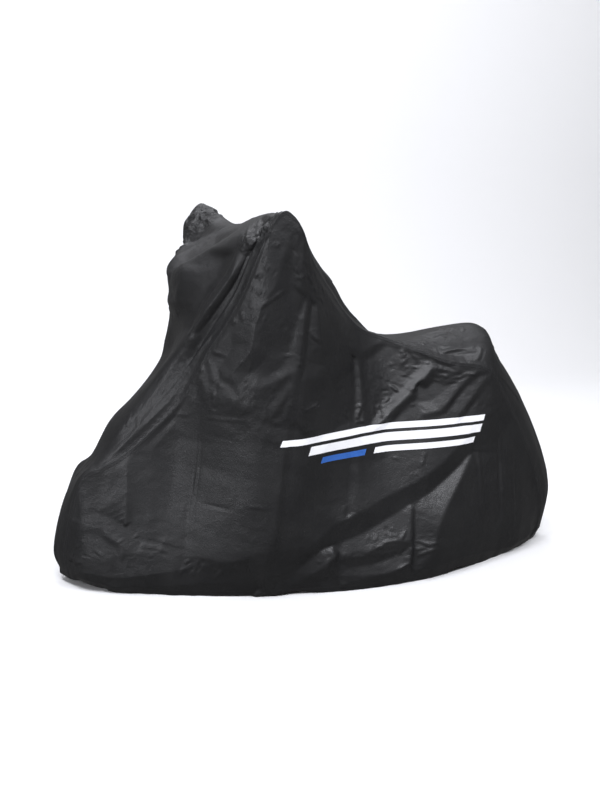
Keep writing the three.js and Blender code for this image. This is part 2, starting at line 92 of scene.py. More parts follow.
# Edges of the flat facets the cloth has been creased and pulled into. Each line runs through two or
# more stops: x, height, and how far the cloth stands out there.
LEFT_NET = {
    "nose strip": (-836, 262, 2, -845, 200, 4, -850, 135, 5, -846, 104, 6),
    "front line": (-690, 455, 2, -688, 400, 7, -692, 330, 8, -700, 232, 6),
    "front line foot": (-668, 450, 0, -666, 390, 2, -670, 320, 2, -680, 240, 0),
    "front facet top": (-790, 268, 0, -745, 250, 0, -706, 232, 0),
    "front facet lip": (-784, 220, 2, -748, 192, 4, -713, 164, 6),
    "front facet foot": (-775, 190, 0, -740, 165, 0, -726, 140, 0, -734, 60, -1),
    "front crease": (-713, 164, 6, -714, 120, 4, -722, 60, 3, -726, 10, 3),
    "low front top": (-700, 222, -1, -645, 182, -2, -600, 171, -2, -548, 137, -1),
    "low front lip": (-700, 128, 3, -650, 142, 3, -600, 140, 3, -556, 116, 2),
    "low front foot": (-700, 70, 5, -620, 66, 5, -560, 62, 4),
    "crease 2 lip": (-536, 575, -5, -540, 500, -14, -545, 420, -19, -552, 390, -18, -560, 320, -15,
        -572, 265, -9, -577, 200, -4, -584, 160, 0),
    "crease 2": (-470, 585, -13, -477, 500, -25, -482, 420, -29, -492, 390, -28, -498, 320, -24,
        -513, 265, -18, -517, 200, -12, -524, 150, -5, -545, 60, 1),
    "crease 3": (-214, 560, -2, -228, 480, 6, -238, 400, 14, -247, 320, 20, -254, 250, 25, -266, 170, 28,
        -284, 120, 26, -288, 20, 18),
    "crease 3 foot": (-192, 560, -9, -206, 480, -2, -216, 400, 4, -225, 320, 9, -232, 250, 14,
        -244, 170, 17, -262, 120, 16, -268, 20, 10),
    "panel foot": (-475, 139, 2, -430, 133, 9, -370, 130, 17, -328, 148, 22, -292, 166, 26),
    "low ring": (-512, 78, -3, -486, 110, -2, -470, 124, 0, -420, 112, 5, -395, 60, 2),
    "low dark": (-345, 112, 10, -322, 70, 3, -300, 30, 2),
    "packing edge": (-470, 585, -13, -400, 590, -10, -320, 588, -6, -214, 560, -2),
    "front panel": (-608, 470, -3, -612, 400, -6, -616, 320, -4, -624, 250, -2, -634, 200, -2),
    "light panel": (-350, 535, -13, -358, 480, -11, -360, 400, -8, -370, 320, -2, -380, 250, 3,
        -396, 190, 8),
    "dark panel": (-120, 500, -6, -124, 400, -6, -128, 300, -4),
    "crease 4 left": (16, 410, -5, 4, 330, -5, -7, 250, -3),
    "crease 4": (46, 410, 1, 38, 350, 1, 22, 300, 1, 8, 262, 0),
    "pull ridge": (500, 520, 4, 468, 474, 8, 440, 446, 9, 350, 380, 9, 290, 350, 8, 240, 325, 6,
        150, 296, 5, 50, 262, 5, -60, 228, 5, -150, 160, 5, -222, 100, 5, -245, 45, 3),
    "pull line": (482, 400, -6, 400, 345, -9, 300, 283, -11, 245, 262, -11, 150, 225, -10, 60, 190, -10,
        -40, 165, -9, -110, 150, -8, -165, 106, -6, -208, 66, -4),
    "low band": (-22, 118, 3, 40, 122, 5, 110, 140, 7, 160, 147, 9, 206, 148, 7),
    "low band foot": (-10, 82, -2, 60, 82, -3, 130, 94, -3, 192, 114, -1),
    "low lip": (-30, 26, 6, 40, 40, 8, 100, 46, 8, 150, 55, 11, 204, 77, 10),
    "low hem": (-60, 2, 1, 60, 2, 2, 150, 8, -1, 204, 18, 2),
    "crease 5 lip": (226, 250, -4, 219, 200, 0, 214, 150, 5, 204, 77, 8, 200, 18, 3),
    "crease 5": (244, 262, -11, 236, 200, -9, 230, 150, -8, 219, 70, -6, 214, 10, -4),
    "flap ridge": (484, 408, -3, 440, 352, 5, 385, 287, 13, 335, 228, 18, 305, 180, 20, 286, 118, 17,
        255, 60, 10),
    "flap foot": (500, 340, 0, 440, 240, 3, 410, 150, 5, 400, 60, 5),
    "wedge ridge": (-200, 34, 3, -130, 76, 9, -90, 100, 12, -60, 124, 12, -74, 168, -2),
    "wedge foot": (-150, 22, -1, -90, 45, -4, -52, 62, -6),
    "crease 4 low": (-40, 162, -9, -42, 120, -7, -43, 60, -7, -42, 10, -4),
    "grip ridge": (-204, 1165, 5, -232, 1090, 9, -252, 1010, 12, -292, 945, 13, -312, 880, 13,
        -320, 830, 12, -332, 790, 11, -352, 765, 9, -388, 718, 5),
    "grip dark": (-192, 1120, -1, -206, 1050, -1, -210, 990, -2, -240, 925, -2, -262, 850, -1,
        -276, 790, -2, -318, 740, -3),
    "strip valley": (-158, 962, -10, -186, 895, -13, -198, 850, -14, -212, 800, -12),
    "strip": (-140, 968, 0, -160, 905, 1, -166, 850, 1, -172, 805, 1, -180, 765, 1),
    "strip foot": (-130, 940, -3, -146, 850, -5, -154, 770, -4),
    "tank bulge": (-118, 970, 12, -108, 905, 24, -94, 810, 30, -66, 720, 24, -40, 650, 12),
    "tank bulge top": (-66, 958, 14, -24, 882, 22, 18, 806, 18, 42, 735, 7),
    "dark foot": (-335, 728, -2, -290, 722, -4, -252, 738, -6, -222, 770, -9, -214, 800, -12),
    "fan ridge": (-325, 690, 1, -268, 700, 2, -240, 714, 2, -205, 732, 2, -184, 748, 2),
    "fork valley 1": (-330, 605, -5, -285, 628, -3, -252, 668, -3, -215, 710, -2),
    "fork strip 1": (-306, 575, -4, -262, 603, 3, -236, 636, 4, -206, 688, 3, -188, 724, 2),
    "fork valley 2": (-246, 590, -1, -230, 628, -2, -211, 668, -1),
    "fork strip 2": (-256, 576, 1, -224, 592, 3, -207, 640, 3, -197, 700, 3),
    "fork foot": (-190, 585, -2, -184, 640, -3, -176, 700, -3),
    "knee fold": (-450, 790, 1, -408, 816, 3, -376, 858, 3),
    "knee fold foot": (-424, 768, -1, -394, 772, -2, -374, 815, -1),
    "fork crease 1": (-468, 742, 1, -456, 700, 1, -450, 665, 0),
    "fork foot 1": (-446, 740, -1, -440, 700, -1),
    "fork crease 2": (-440, 772, 1, -428, 705, 2, -418, 688, 0),
    "fork foot 2": (-420, 755, -1, -408, 706, -1),
    "fork crease 3": (-405, 690, 2, -388, 668, 2, -372, 634, 1),
    "fork foot 3": (-388, 698, 0, -362, 664, -1),
    "fork crease 4": (-362, 690, 2, -350, 655, 2, -338, 622, 1),
    "fork foot 4": (-342, 694, 0, -326, 655, -1),
    "fork crease 5": (-482, 700, 1, -488, 640, -3, -496, 605, -6),
    "fork foot 5": (-466, 690, -2, -470, 640, -6, -470, 612, -9),
    "tank crease left": (52, 742, -4, 54, 650, -6, 48, 590, -5, 36, 546, -5, 0, 545, -5, -60, 530, -3),
    "tank crease": (73, 742, 6, 75, 650, 8, 74, 590, 7, 80, 540, 7, 82, 502, 5),
    "tank crease right": (96, 720, 0, 100, 640, 1, 104, 560, 0),
    "swag lip": (-70, 498, 4, -20, 500, 7, 40, 498, 8, 82, 502, 5),
    "gloss ridge": (342, 690, 9, 306, 660, 13, 272, 630, 13, 256, 612, 11, 202, 572, 12, 156, 535, 12,
        92, 498, 8),
    "gloss top": (312, 708, -3, 280, 674, -4, 246, 638, -3, 205, 608, -4, 164, 590, -4, 137, 556, -3,
        110, 530, -1),
    "gloss foot": (352, 645, -9, 305, 612, -7, 262, 580, -5, 210, 540, -3, 150, 500, -1),
    "tail strip": (302, 545, 2, 360, 549, 4, 402, 580, 6, 442, 620, 6, 482, 656, 5, 520, 672, 3),
    "tail strip top": (335, 585, -6, 388, 615, -3, 430, 650, -2, 470, 676, -1),
    "tail strip foot": (330, 525, -2, 385, 540, -3, 425, 580, -3, 470, 620, -3, 520, 650, -2),
    "streak up": (408, 498, 3, 440, 536, 7, 496, 590, 7, 528, 625, 3),
    "streak foot": (440, 505, -1, 480, 550, -2, 530, 590, -1),
    "crease 5 high": (289, 640, -7, 287, 580, -7, 289, 522, -4),
    "seat crease": (290, 762, 5, 332, 751, 8, 372, 727, 9, 405, 709, 8, 432, 713, 5, 480, 736, 3),
    "seat crease foot": (300, 738, -4, 340, 724, -6, 385, 700, -5, 420, 694, -4),
    "seat ridge 2": (345, 700, 3, 400, 680, 4, 450, 670, 3),
    "side valley": (196, 772, -5, 155, 748, -8, 108, 728, -5),
    "side ridge": (180, 785, 0, 140, 772, 2, 100, 758, 2),
    "rear line": (668, 470, 0, 640, 380, 3, 612, 240, 4, 600, 140, 3),
    "rear line foot": (640, 470, -1, 612, 380, -2, 588, 240, -2, 578, 140, -1),
}

# Narrow creases and tucks seen on the left side, x and z of start, middle and end, the half
# widths on the upper and the lower side of the line, and the height.
LEFT_TUCKS = {
    "upper packing line 1": (-552, 584, -520, 583, -488, 584, 7, 6, 1.8),
    "upper packing line 2": (-458, 582, -400, 581, -316, 584, 7, 6, 2.0),
    "mid packing line 1": (-489, 306, -423, 301, -360, 292, 9, 8, -1.8),
    "mid packing line 2": (-351, 311, -306, 312, -253, 306, 9, 8, 1.8),
    "low front stroke": (-664, 165, -606, 160, -556, 140, 12, 9, 2.2),
    "nose tuck": (-888, 99, -862, 104, -828, 92, 14, 9, 4.5),
    "nose scratch": (-796, 158, -782, 140, -766, 125, 7, 6, 2.0),
    "low ring 1": (-440, 62, -424, 82, -408, 106, 9, 7, 3.0),
    "low ring 2": (-494, 84, -476, 110, -466, 134, 9, 7, -2.5),
    "low ring 3": (-345, 126, -334, 110, -328, 84, 9, 7, 2.6),
    "low ring 4": (-524, 112, -514, 122, -504, 130, 6, 6, 2.6),
    "knee glint": (-467, 752, -461, 736, -455, 720, 7, 6, 7.5),
    "knee line": (-437, 796, -408, 788, -384, 778, 8, 6, 3.5),
    "sliver 1": (-165, 608, -129, 617, -96, 628, 9, 6, 7.0),
    "sliver 2": (-172, 540, -150, 545, -128, 552, 9, 6, 2.6),
    "strip line": (-236, 780, -212, 788, -186, 790, 8, 6, 2.0),
    "grip line": (-222, 996, -262, 965, -318, 932, 8, 7, 3.5),
    "grip stroke 1": (-262, 1136, -252, 1128, -242, 1118, 6, 5, 4.5),
    "grip stroke 2": (-288, 1078, -282, 1064, -272, 1050, 6, 5, 5.5),
    "grip stroke 3": (-316, 1036, -304, 1037, -292, 1036, 6, 5, 5.5),
    "grip stroke 4": (-312, 998, -304, 988, -294, 974, 6, 5, 5.0),
    "grip stroke 5": (-352, 925, -346, 910, -342, 896, 6, 5, 4.5),
    "grip stroke 6": (-376, 902, -370, 893, -366, 884, 6, 5, 5.5),
    "grip ray 1": (-196, 1062, -188, 1050, -178, 1038, 7, 6, 2.8),
    "grip ray 2": (-206, 1022, -168, 1030, -126, 1036, 8, 6, 2.8),
    "grip ray 3": (-176, 1082, -158, 1074, -140, 1062, 8, 6, 2.6),
    "grip side": (-188, 1165, -190, 1110, -196, 1050, 12, 9, 3.0),
    "shoulder 1": (-130, 990, -112, 984, -94, 972, 9, 7, 3.0),
    "shoulder 2": (-110, 972, -92, 955, -72, 938, 8, 7, 3.0),
    "shoulder 3": (-120, 1040, -92, 1028, -66, 1000, 9, 7, 3.0),
    "tank arc": (-148, 872, -120, 838, -86, 824, 12, 9, 3.0),
    "tank fork": (76, 604, 60, 570, 44, 538, 9, 8, 4.5),
    "tank bar": (42, 537, 62, 540, 86, 538, 7, 6, 4.0),
    "tank ring": (24, 596, 4, 574, 28, 556, 8, 7, 3.6),
    "gloss bar 1": (194, 642, 206, 630, 222, 616, 8, 6, 6.0),
    "gloss bar 2": (158, 584, 174, 594, 192, 604, 8, 6, 5.5),
    "gloss bar 3": (134, 582, 142, 560, 142, 536, 12, 8, 6.0),
    "gloss bar 4": (150, 670, 172, 656, 192, 644, 7, 8, -3.0),
    "gather": (249, 772, 246, 730, 245, 682, 14, 12, 4.0),
    "gather stroke 1": (238, 744, 248, 752, 262, 764, 6, 5, 3.4),
    "gather stroke 2": (234, 726, 248, 734, 264, 746, 6, 5, 3.4),
    "gather stroke 3": (236, 706, 250, 714, 268, 728, 6, 5, 3.4),
    "gather stroke 4": (240, 688, 252, 694, 266, 704, 6, 5, 3.0),
    "gather stroke 5": (268, 760, 282, 740, 296, 714, 9, 6, 3.6),
    "seat line": (300, 772, 340, 776, 405, 770, 12, 9, 3.4),
    "tail ray 1": (424, 704, 470, 707, 524, 700, 8, 7, 3.0),
    "tail ray 2": (396, 650, 440, 656, 492, 674, 9, 8, 3.4),
    "tail ray 3": (392, 640, 420, 642, 446, 646, 7, 6, 2.8),
    "tail ray 4": (360, 672, 385, 674, 420, 672, 8, 7, -2.8),
    "print wrinkle 1": (268, 372, 280, 398, 287, 422, 8, 6, 2.8),
    "print wrinkle 2": (168, 416, 190, 406, 208, 400, 7, 6, 1.8),
    "low line 1": (112, 152, 140, 151, 170, 152, 7, 6, 3.2),
    "low line 2": (172, 148, 184, 164, 198, 184, 8, 6, 3.4),
    "low line 3": (122, 200, 138, 180, 168, 176, 9, 7, -2.6),
    "low line 4": (148, 55, 180, 66, 212, 76, 8, 6, 4.0),
    "low line 5": (-104, 58, -92, 82, -76, 112, 9, 7, 2.8),
    "low line 6": (-8, 118, 20, 124, 56, 118, 9, 7, -2.4),
    "flap wrinkle 1": (238, 142, 258, 130, 286, 120, 9, 7, 3.4),
    "flap wrinkle 2": (230, 90, 256, 101, 288, 110, 8, 6, 3.0),
    "crease 1 line": (-690, 440, -689, 330, -699, 205, 5, 5, 1.6),
    "crease 2 line": (-473, 560, -484, 400, -514, 235, 5, 5, 2.0),
    "crease 3 line": (-226, 520, -245, 320, -268, 150, 5, 5, 1.6),
    "rear packing line 1": (514, 600, 506, 330, 500, 60, 10, 9, 2.8),
    "rear packing line 2": (604, 560, 597, 300, 588, 90, 10, 9, -2.8),
    "rear packing line 3": (672, 440, 664, 260, 652, 80, 9, 8, 2.4),
    "rear tuck": (820, 70, 756, 46, 600, 28, 26, 18, 6.0),
}

# Where the cloth is most crumpled: x and z of the middle, reach each way, strength, and the number
# and slant in degrees of the short sharp creases there.
LEFT_ZONES = {
    "fork": (-390, 690, 100, 90, 0.30, 16, -60),
    "fork foot": (-235, 640, 50, 70, 0.30, 10, 55),
    "front ridge": (-470, 690, 60, 80, 0.30, 6, 60),
    "strip": (-190, 830, 36, 90, 0.30, 10, 60),
    "grip band": (-300, 1000, 50, 150, 0.25, 20, -50),
    "lever": (-170, 1090, 50, 80, 0.40, 16, -35),
    "shoulder": (-115, 1005, 50, 70, 0.45, 14, -40),
    "tank": (-20, 830, 100, 100, 0.25, 8, -50),
    "tank low": (20, 570, 60, 50, 0.40, 10, 30),
    "seat corner": (250, 715, 60, 60, 0.70, 14, 35),
    "gloss": (195, 600, 90, 60, 0.50, 18, 35),
    "seat side": (410, 690, 120, 50, 0.50, 16, 5),
    "low rear": (130, 115, 110, 70, 0.40, 16, 15),
    "flap": (268, 110, 45, 65, 0.40, 10, 20),
    "low front": (-450, 95, 100, 55, 0.30, 9, 60),
    "low middle": (-90, 100, 70, 60, 0.40, 10, 50),
    "nose": (-845, 120, 45, 60, 0.35, 8, -20),
    "front middle": (-660, 140, 80, 60, 0.15, 5, -10),
    "rear": (600, 150, 120, 100, 0.20, 8, 70),
}

# Sizes of the random folds in millimetres: broad facets, tight crumple, slow waves, and patches.
FACET, CRUMPLE, WAVE, PATCH = 110, 40, 130, 85
# Folds die out over this width beside the seam and leave its puckers: height, wave (a full one is
# 6.3 times this), how far they reach, and how much that varies.
SIDE_CALM = 34
PUCKER_HEIGHT, PUCKER_WAVE, PUCKER_REACH, PUCKER_VARY = 0.55, 5.2, 24, 14
# Gathers at the elastic hem: height, wave as above, how far up they reach, and how much further
# where they are bunched, which grows from the first distance off the middle over the second.
GATHER_HEIGHT, GATHER_WAVE, GATHER_REACH, GATHER_MORE = 1.3, 11, 28, 22
BUNCH_FROM, BUNCH_OVER = 350, 450
# The hem's turned-in strip, from its raw edge to the fold: how high up, and how far inside.
HEM_FOLD = ((22, 2.4), (9, 2.4), (0.3, 1.6))
# Points of the mesh along the panel and up it.
SIDE_ALONG, SIDE_UP = 436, 226


def smooth(before, here, after, later, f):
    """Smooth curve through four values, f of the way from the second to the third."""
    m1 = (after - before) / 2
    m2 = (later - here) / 2
    return ((2 * f**3 - 3 * f**2 + 1) * here + (f**3 - 2 * f**2 + f) * m1
            + (-2 * f**3 + 3 * f**2) * after + (f**3 - f**2) * m2)


def along(rows, t):
    """Smooth curve through table rows; t counts rows."""
    i = np.clip(np.floor(t).astype(int), 0, len(rows) - 2)
    later = rows[np.minimum(i + 2, len(rows) - 1)]
    return smooth(rows[np.maximum(i - 1, 0)], rows[i], rows[i + 1], later, (t - i)[..., None])


def ease(t):
    """Rises smoothly from 0 to 1 as t does, and stays there."""
    c = np.clip(t, 0, 1)
    return c * c * (3 - 2 * c)


def unit(v):
    """Vectors brought to length 1."""
    return v / np.maximum(np.linalg.norm(v, axis=-1, keepdims=True), 1e-9)


def bend_line(a, b, c):
    """Points of a curve that starts at a, passes b and ends at c."""
    t = np.linspace(0, 1, 17)[:, None]
    pull = 2 * b - (a + c) / 2
    return (1 - t) ** 2 * a + 2 * t * (1 - t) * pull + t * t * c


def near_line(points, line, reach):
    """Where the points lie near a line: their places in the grid, distance, how far along, and side."""
    low, high = line.min(0) - reach, line.max(0) + reach
    near = np.nonzero(((points >= low) & (points <= high)).all(-1))
    spots = points[near]
    best = np.full(len(spots), 1e9)
    where = np.zeros(len(spots))
    hand = np.zeros(len(spots))
    for k in range(len(line) - 1):
        run = line[k + 1] - line[k]
        rel = spots - line[k]
        s = np.clip((rel @ run) / (run @ run), 0, 1)
        d = np.linalg.norm(rel - s[:, None] * run, axis=1)
        closer = d < best
        best = np.where(closer, d, best)
        where = np.where(closer, (k + s) / (len(line) - 1), where)
        hand = np.where(closer, np.sign(run[0] * rel[:, -1] - run[-1] * rel[:, 0]), hand)
    return near, best, where, hand


# A tuck's line is rounded over this radius in millimetres; the dip beside it is this share of its height.
TUCK_ROUND = 2.0
TUCK_DIP = 0.3


def tucks_at(points, table, dims):
    """Height of narrow tucks: a sharp line, a slow slope above it, a steep one and a dip below it."""
    total = np.zeros(points.shape[:-1])
    for row in table.values():
        a, b, c = (np.array(row[k * dims:(k + 1) * dims], float) for k in range(3))
        upper, lower, out = row[3 * dims:]
        near, d, where, hand = near_line(points, bend_line(a, b, c), 2.2 * max(upper, lower))
        if a[0] > c[0]:
            hand = -hand
        half = np.where(hand > 0, upper, lower)
        blunt = np.sqrt(d**2 + TUCK_ROUND**2) - TUCK_ROUND
        side = np.clip(1 - blunt / half, 0, 1) ** 1.5
        dip = np.where(hand > 0, 0, TUCK_DIP) * np.exp(-(((d - 1.3 * half) / (0.5 * half)) ** 2))
        wave = 0.8 + 0.2 * np.sin(where * 9.0 + upper + a[0])
        total[near] += out * (side - dip) * wave * ease(3.2 * np.minimum(where, 1 - where))
    return total


# The net's lines are cut into steps of about this length. Dents are strewn between the lines: their
# spacing, scatter, greatest height, how far they keep from lines and from each other, and how far
# they go on past the panel's edges.
NET_STEP = 20
DENT_SPACING, DENT_SCATTER, DENT_HEIGHT, DENT_CLEAR, DENT_MARGIN = 90, 32, 2.2, 62, 120


def crease_net(table, x, z, seed, scale=(1, 1)):
    """Height of flat facets stretched between the crease lines; open cloth gets slight random dents."""
    spots = []
    for row in table.values():
        stops = np.array(row, float).reshape(-1, 3) * (*scale, 1)
        for a, b in zip(stops, stops[1:]):
            count = max(1, round(np.hypot(*(b - a)[:2]) / NET_STEP))
            spots += [a + (b - a) * k / count for k in range(count)]
        spots.append(stops[-1])
    random = np.random.default_rng(seed)
    for at_x in np.arange(x.min() - DENT_MARGIN, x.max() + DENT_MARGIN, DENT_SPACING):
        for at_z in np.arange(z.min() - DENT_MARGIN, z.max() + DENT_MARGIN, DENT_SPACING):
            throw = random.uniform(-1, 1, 3) * (DENT_SCATTER, DENT_SCATTER, DENT_HEIGHT)
            spot = np.array([at_x, at_z, 0]) + throw
            if min(np.hypot(*(near - spot)[:2]) for near in spots) > DENT_CLEAR:
                spots.append(spot)
    spots = np.array(spots)
    corners, _, faces, origin, *_ = delaunay_2d_cdt(spots[:, :2].tolist(), [], [], 0, 0.01)
    corners = np.array([(*at, spots[first[0]][2]) for at, first in zip(corners, origin)])
    height = np.zeros(x.shape)
    for a, b, c in (corners[list(face)] for face in faces):
        low, high = np.minimum(np.minimum(a, b), c), np.maximum(np.maximum(a, b), c)
        near = np.nonzero((x >= low[0]) & (x <= high[0]) & (z >= low[1]) & (z <= high[1]))
        px, pz = x[near] - a[0], z[near] - a[1]
        area = (b[0] - a[0]) * (c[1] - a[1]) - (c[0] - a[0]) * (b[1] - a[1])
        f = (px * (c[1] - a[1]) - pz * (c[0] - a[0])) / area
        g = (pz * (b[0] - a[0]) - px * (b[1] - a[1])) / area
        inside = (f >= -1e-6) & (g >= -1e-6) & (f + g <= 1 + 1e-6)
        place = tuple(axis[inside] for axis in near)
        height[place] = (a[2] + f * (b[2] - a[2]) + g * (c[2] - a[2]))[inside]
    return height


def softened(height):
    """Heights on a grid with their sharp edges rounded a little."""
    for axis in (0, 1):
        wide = np.pad(height, [(1, 1) if k == axis else (0, 0) for k in (0, 1)], "edge")
        wide = np.moveaxis(wide, axis, 0)
        height = np.moveaxis(0.25 * wide[:-2] + 0.5 * wide[1:-1] + 0.25 * wide[2:], 0, axis)
    return height


# Random heights come from a square table with this many cells a side, used over and over.
CELLS = 127


def soft_noise(x, y, size, seed):
    """Smooth random height, about -1 to 1, with bumps of the given size."""
    table = np.random.default_rng(seed).uniform(-1, 1, (CELLS + 1, CELLS + 1))
    u, v = x / size, y / size
    i, j = np.floor(u).astype(int), np.floor(v).astype(int)
    f, g = ease(u - i), ease(v - j)
    i, j = i % CELLS, j % CELLS
    low = table[i, j] * (1 - f) + table[i + 1, j] * f
    high = table[i, j + 1] * (1 - f) + table[i + 1, j + 1] * f
    return low * (1 - g) + high * g


# This lean makes the facets near enough equal-sided.
LEAN = 0.366


def facet_noise(x, y, size, seed):
    """Random height made of flat triangles with sharp edges between them, like crushed foil."""
    table = np.random.default_rng(seed).uniform(-1, 1, (CELLS + 1, CELLS + 1))
    u, v = x / size, y / size
    lean = (u + v) * LEAN
    u, v = u + lean, v + lean
    i, j = np.floor(u).astype(int), np.floor(v).astype(int)
    f, g = u - i, v - j
    i, j = i % CELLS, j % CELLS
    first = f > g
    middle = np.where(first, table[i + 1, j], table[i, j + 1])
    return (table[i, j] * (1 - np.maximum(f, g)) + middle * np.abs(f - g)
            + table[i + 1, j + 1] * np.minimum(f, g))


# Slow noise bends the crumple's facets: its height and its size, as shares of the facets' size.
WARP, WARP_SIZE = 0.28, 1.8


def crumple(x, y, seed, size):
    """Crumple of light coated cloth in facets of three sizes, each half the last, about -1 to 1."""
    height = 0
    for k, share in enumerate((1.0, 0.52, 0.26)):
        facet = size / 2**k
        wx = x + WARP * facet * soft_noise(x, y, WARP_SIZE * facet, seed + 10 + k)
        wy = y + WARP * facet * soft_noise(x, y, WARP_SIZE * facet, seed + 20 + k)
        height = height + share * facet_noise(wx + 91 * k, wy - 57 * k, facet, seed + k)
    return height


def zones_at(points, table, dims):
    """How strongly the cloth is crumpled: 0 in smooth parts, up to a zone's strength in its middle."""
    total = np.zeros(points.shape[:-1])
    for row in table.values():
        centre, reach, share = np.array(row[:dims]), np.array(row[dims:2 * dims]), row[2 * dims]
        d = (((points - centre) / reach) ** 2).sum(-1)
        total = np.maximum(total, share * np.exp(-d * d))
    return total


# Short creases lean off their zone's slant by about this many degrees either way. Their widths in
# millimetres, on the wider side, run from the first of these to the second.
SLANT_SPREAD = 22
CREASE_WIDTHS = (5.5, 8)


def short_creases(points, table, dims, seed, length=26, height=2.0):
    """Rows of short sharp creases strewn through the crumpled zones, each near its zone's slant."""
    random = np.random.default_rng(seed)
    rows = {}
    for name, row in table.items():
        centre, reach = np.array(row[:dims]), np.array(row[dims:2 * dims])
        count, slant = row[2 * dims + 1:]
        inside = (((points[2:-2, 2:-2] - centre) / reach) ** 2).sum(-1) < 1
        for i, j in random.choice(np.argwhere(inside) + 2, count):
            run = unit(points[i + 1, j] - points[i - 1, j])
            up = unit(points[i, j + 1] - points[i, j - 1])
            angle = math.radians(slant + SLANT_SPREAD * random.normal())
            way = math.cos(angle) * run + math.sin(angle) * up
            bow = math.cos(angle) * up - math.sin(angle) * run
            half = length * random.uniform(0.3, 0.8)
            middle = points[i, j] + bow * half * random.uniform(-0.25, 0.25)
            out = height * random.uniform(0.5, 1.2) * random.choice([1, 1, -1])
            wide = random.uniform(*CREASE_WIDTHS)
            start, stop = points[i, j] - way * half, points[i, j] + way * half
            rows[f"{name} {len(rows)}"] = (*start, *middle, *stop, wide, 0.8 * wide, out)
    return rows


def random_folds(x, y, loose, depth, facet_seed, crumple_seed, wave_seed, patch_seed):
    """Height of the random folds: facets and waves all over, and crumple where the cloth is loose.

    The crumple is about as high as depth, and comes and goes in patches.
    """
    patch = ease(0.55 + 1.1 * soft_noise(x, y, PATCH, patch_seed))
    crumpled = depth * loose * (0.3 + 0.7 * patch) * crumple(x, y, crumple_seed, CRUMPLE)
    return crumple(x, y, facet_seed, FACET) + crumpled + 1.6 * soft_noise(x, y, WAVE, wave_seed)


def end_fade(t):
    """Brings the folds in over one and a half sections from each end of a panel, as a column."""
    return (ease(t / 1.5) * ease((LAST - t) / 1.5))[:, None]


def running_length(line):
    """Length along a line of points up to each point, as a column."""
    steps = np.linalg.norm(np.diff(line, axis=0), axis=1)
    return np.concatenate([[0], np.cumsum(steps)])[:, None]


def puckers_at(run, to_seam, seed):
    """Short uneven puckers that a sewn seam pulls into the cloth beside it."""
    flat = 0 * to_seam
    run = run + flat
    beat = run / PUCKER_WAVE + 2.8 * soft_noise(run, flat, 70, seed)
    reach = PUCKER_REACH + PUCKER_VARY * soft_noise(run, flat, 31, seed + 1)
    strength = 0.25 + 0.95 * ease(0.4 + 1.3 * soft_noise(run, flat, 62, seed + 2))
    lean = 0.05 * to_seam
    fade = np.exp(-(to_seam / reach) ** 2)
    return PUCKER_HEIGHT * strength * np.sin(beat + lean) * fade * ease(to_seam / 7)


def side_surface(rows, side, net, tucks, zones, seed):
    """Points of a side panel in metres, from nose to tail and from hem to seam.

    Also gives the place in the cloth (along it, and down from its seam) and the place of the print.
    """
    t = even_steps(rows, SIDE_ALONG)
    w = np.linspace(0, 1, SIDE_UP)
    r = along(rows, t)
    ahead = along(rows, np.minimum(t + 0.05, LAST))
    back = along(rows, np.maximum(t - 0.05, 0))
    flat = unit(np.stack([-(ahead - back)[:, 1], (ahead - back)[:, 0]], -1))
    hem = np.stack([r[:, 0], r[:, 1], np.interp(r[:, 0], HEM_LIFT_X, HEM_LIFT)], -1)
    knee = r[:, 2:5]
    drop = np.linalg.norm(knee - hem, axis=1)[:, None]
    base = hem[:, None] * (1 - w)[None, :, None] + knee[:, None] * w[None, :, None]
    x, z = base[..., 0], base[..., 2]
    w = w[None, :] + 0 * x
    ends = end_fade(t)
    to_seam = (1 - w) * drop
    to_hem = w * drop
    spot = np.stack([x, z], -1)
    main = softened(crease_net(net, x, z, seed + 50))
    fine = tucks_at(spot, tucks | short_creases(spot, zones, 2, seed + 40), 2)
    fine = fine + random_folds(x, z, zones_at(spot, zones, 2), 2.0, facet_seed=seed, crumple_seed=seed,
                               wave_seed=seed + 61, patch_seed=seed + 60)
    run = running_length(knee)
    puckers = puckers_at(run, to_seam, seed + 70)
    hem_run = running_length(hem) + 0 * x
    swing = hem_run / GATHER_WAVE + 2.4 * soft_noise(hem_run, 0 * x, 60, seed + 80)
    bunch = 0.4 + 1.2 * ease((np.abs(x) - BUNCH_FROM) / BUNCH_OVER)
    fade = np.exp(-to_hem / (GATHER_REACH + GATHER_MORE * bunch))
    gathers = GATHER_HEIGHT * bunch * np.sin(swing) * fade
    belly = np.interp(w, BELLY_UP, BELLY_OUT) * np.minimum(1, drop / FULL_DROP) * ends
    folds = ease(to_seam / SIDE_CALM) * (main + fine)
    shift = belly + ends * (folds + puckers + gathers * ease(to_seam / 60))
    x = x + flat[:, :1] * shift
    y = base[..., 1] + flat[:, 1:] * shift
    points = np.stack([x, y, z], -1)
    # The hem is turned in and sewn down: a second layer goes up inside it.
    inward = np.concatenate([-flat, 0 * flat[:, :1]], 1)
    turned = [points[:, 0] + deep * inward + np.array([0, 0, up]) for up, deep in HEM_FOLD]
    points = np.concatenate([np.stack(turned, 1), points], 1)
    points[..., 1] *= side
    points = (points + np.array([MIDDLE_X, MIDDLE_Y, 0])) / 1000
    cloth = np.stack([run - run[-1] / 2 + 0 * x, to_seam], -1) / 1000
    print_place = spot / 1000
    extra = len(HEM_FOLD)
    cloth = np.concatenate([np.repeat(cloth[:, :1], extra, 1), cloth], 1)
    print_place = np.concatenate([np.repeat(print_place[:, :1], extra, 1), print_place], 1)
    return points, cloth, print_place


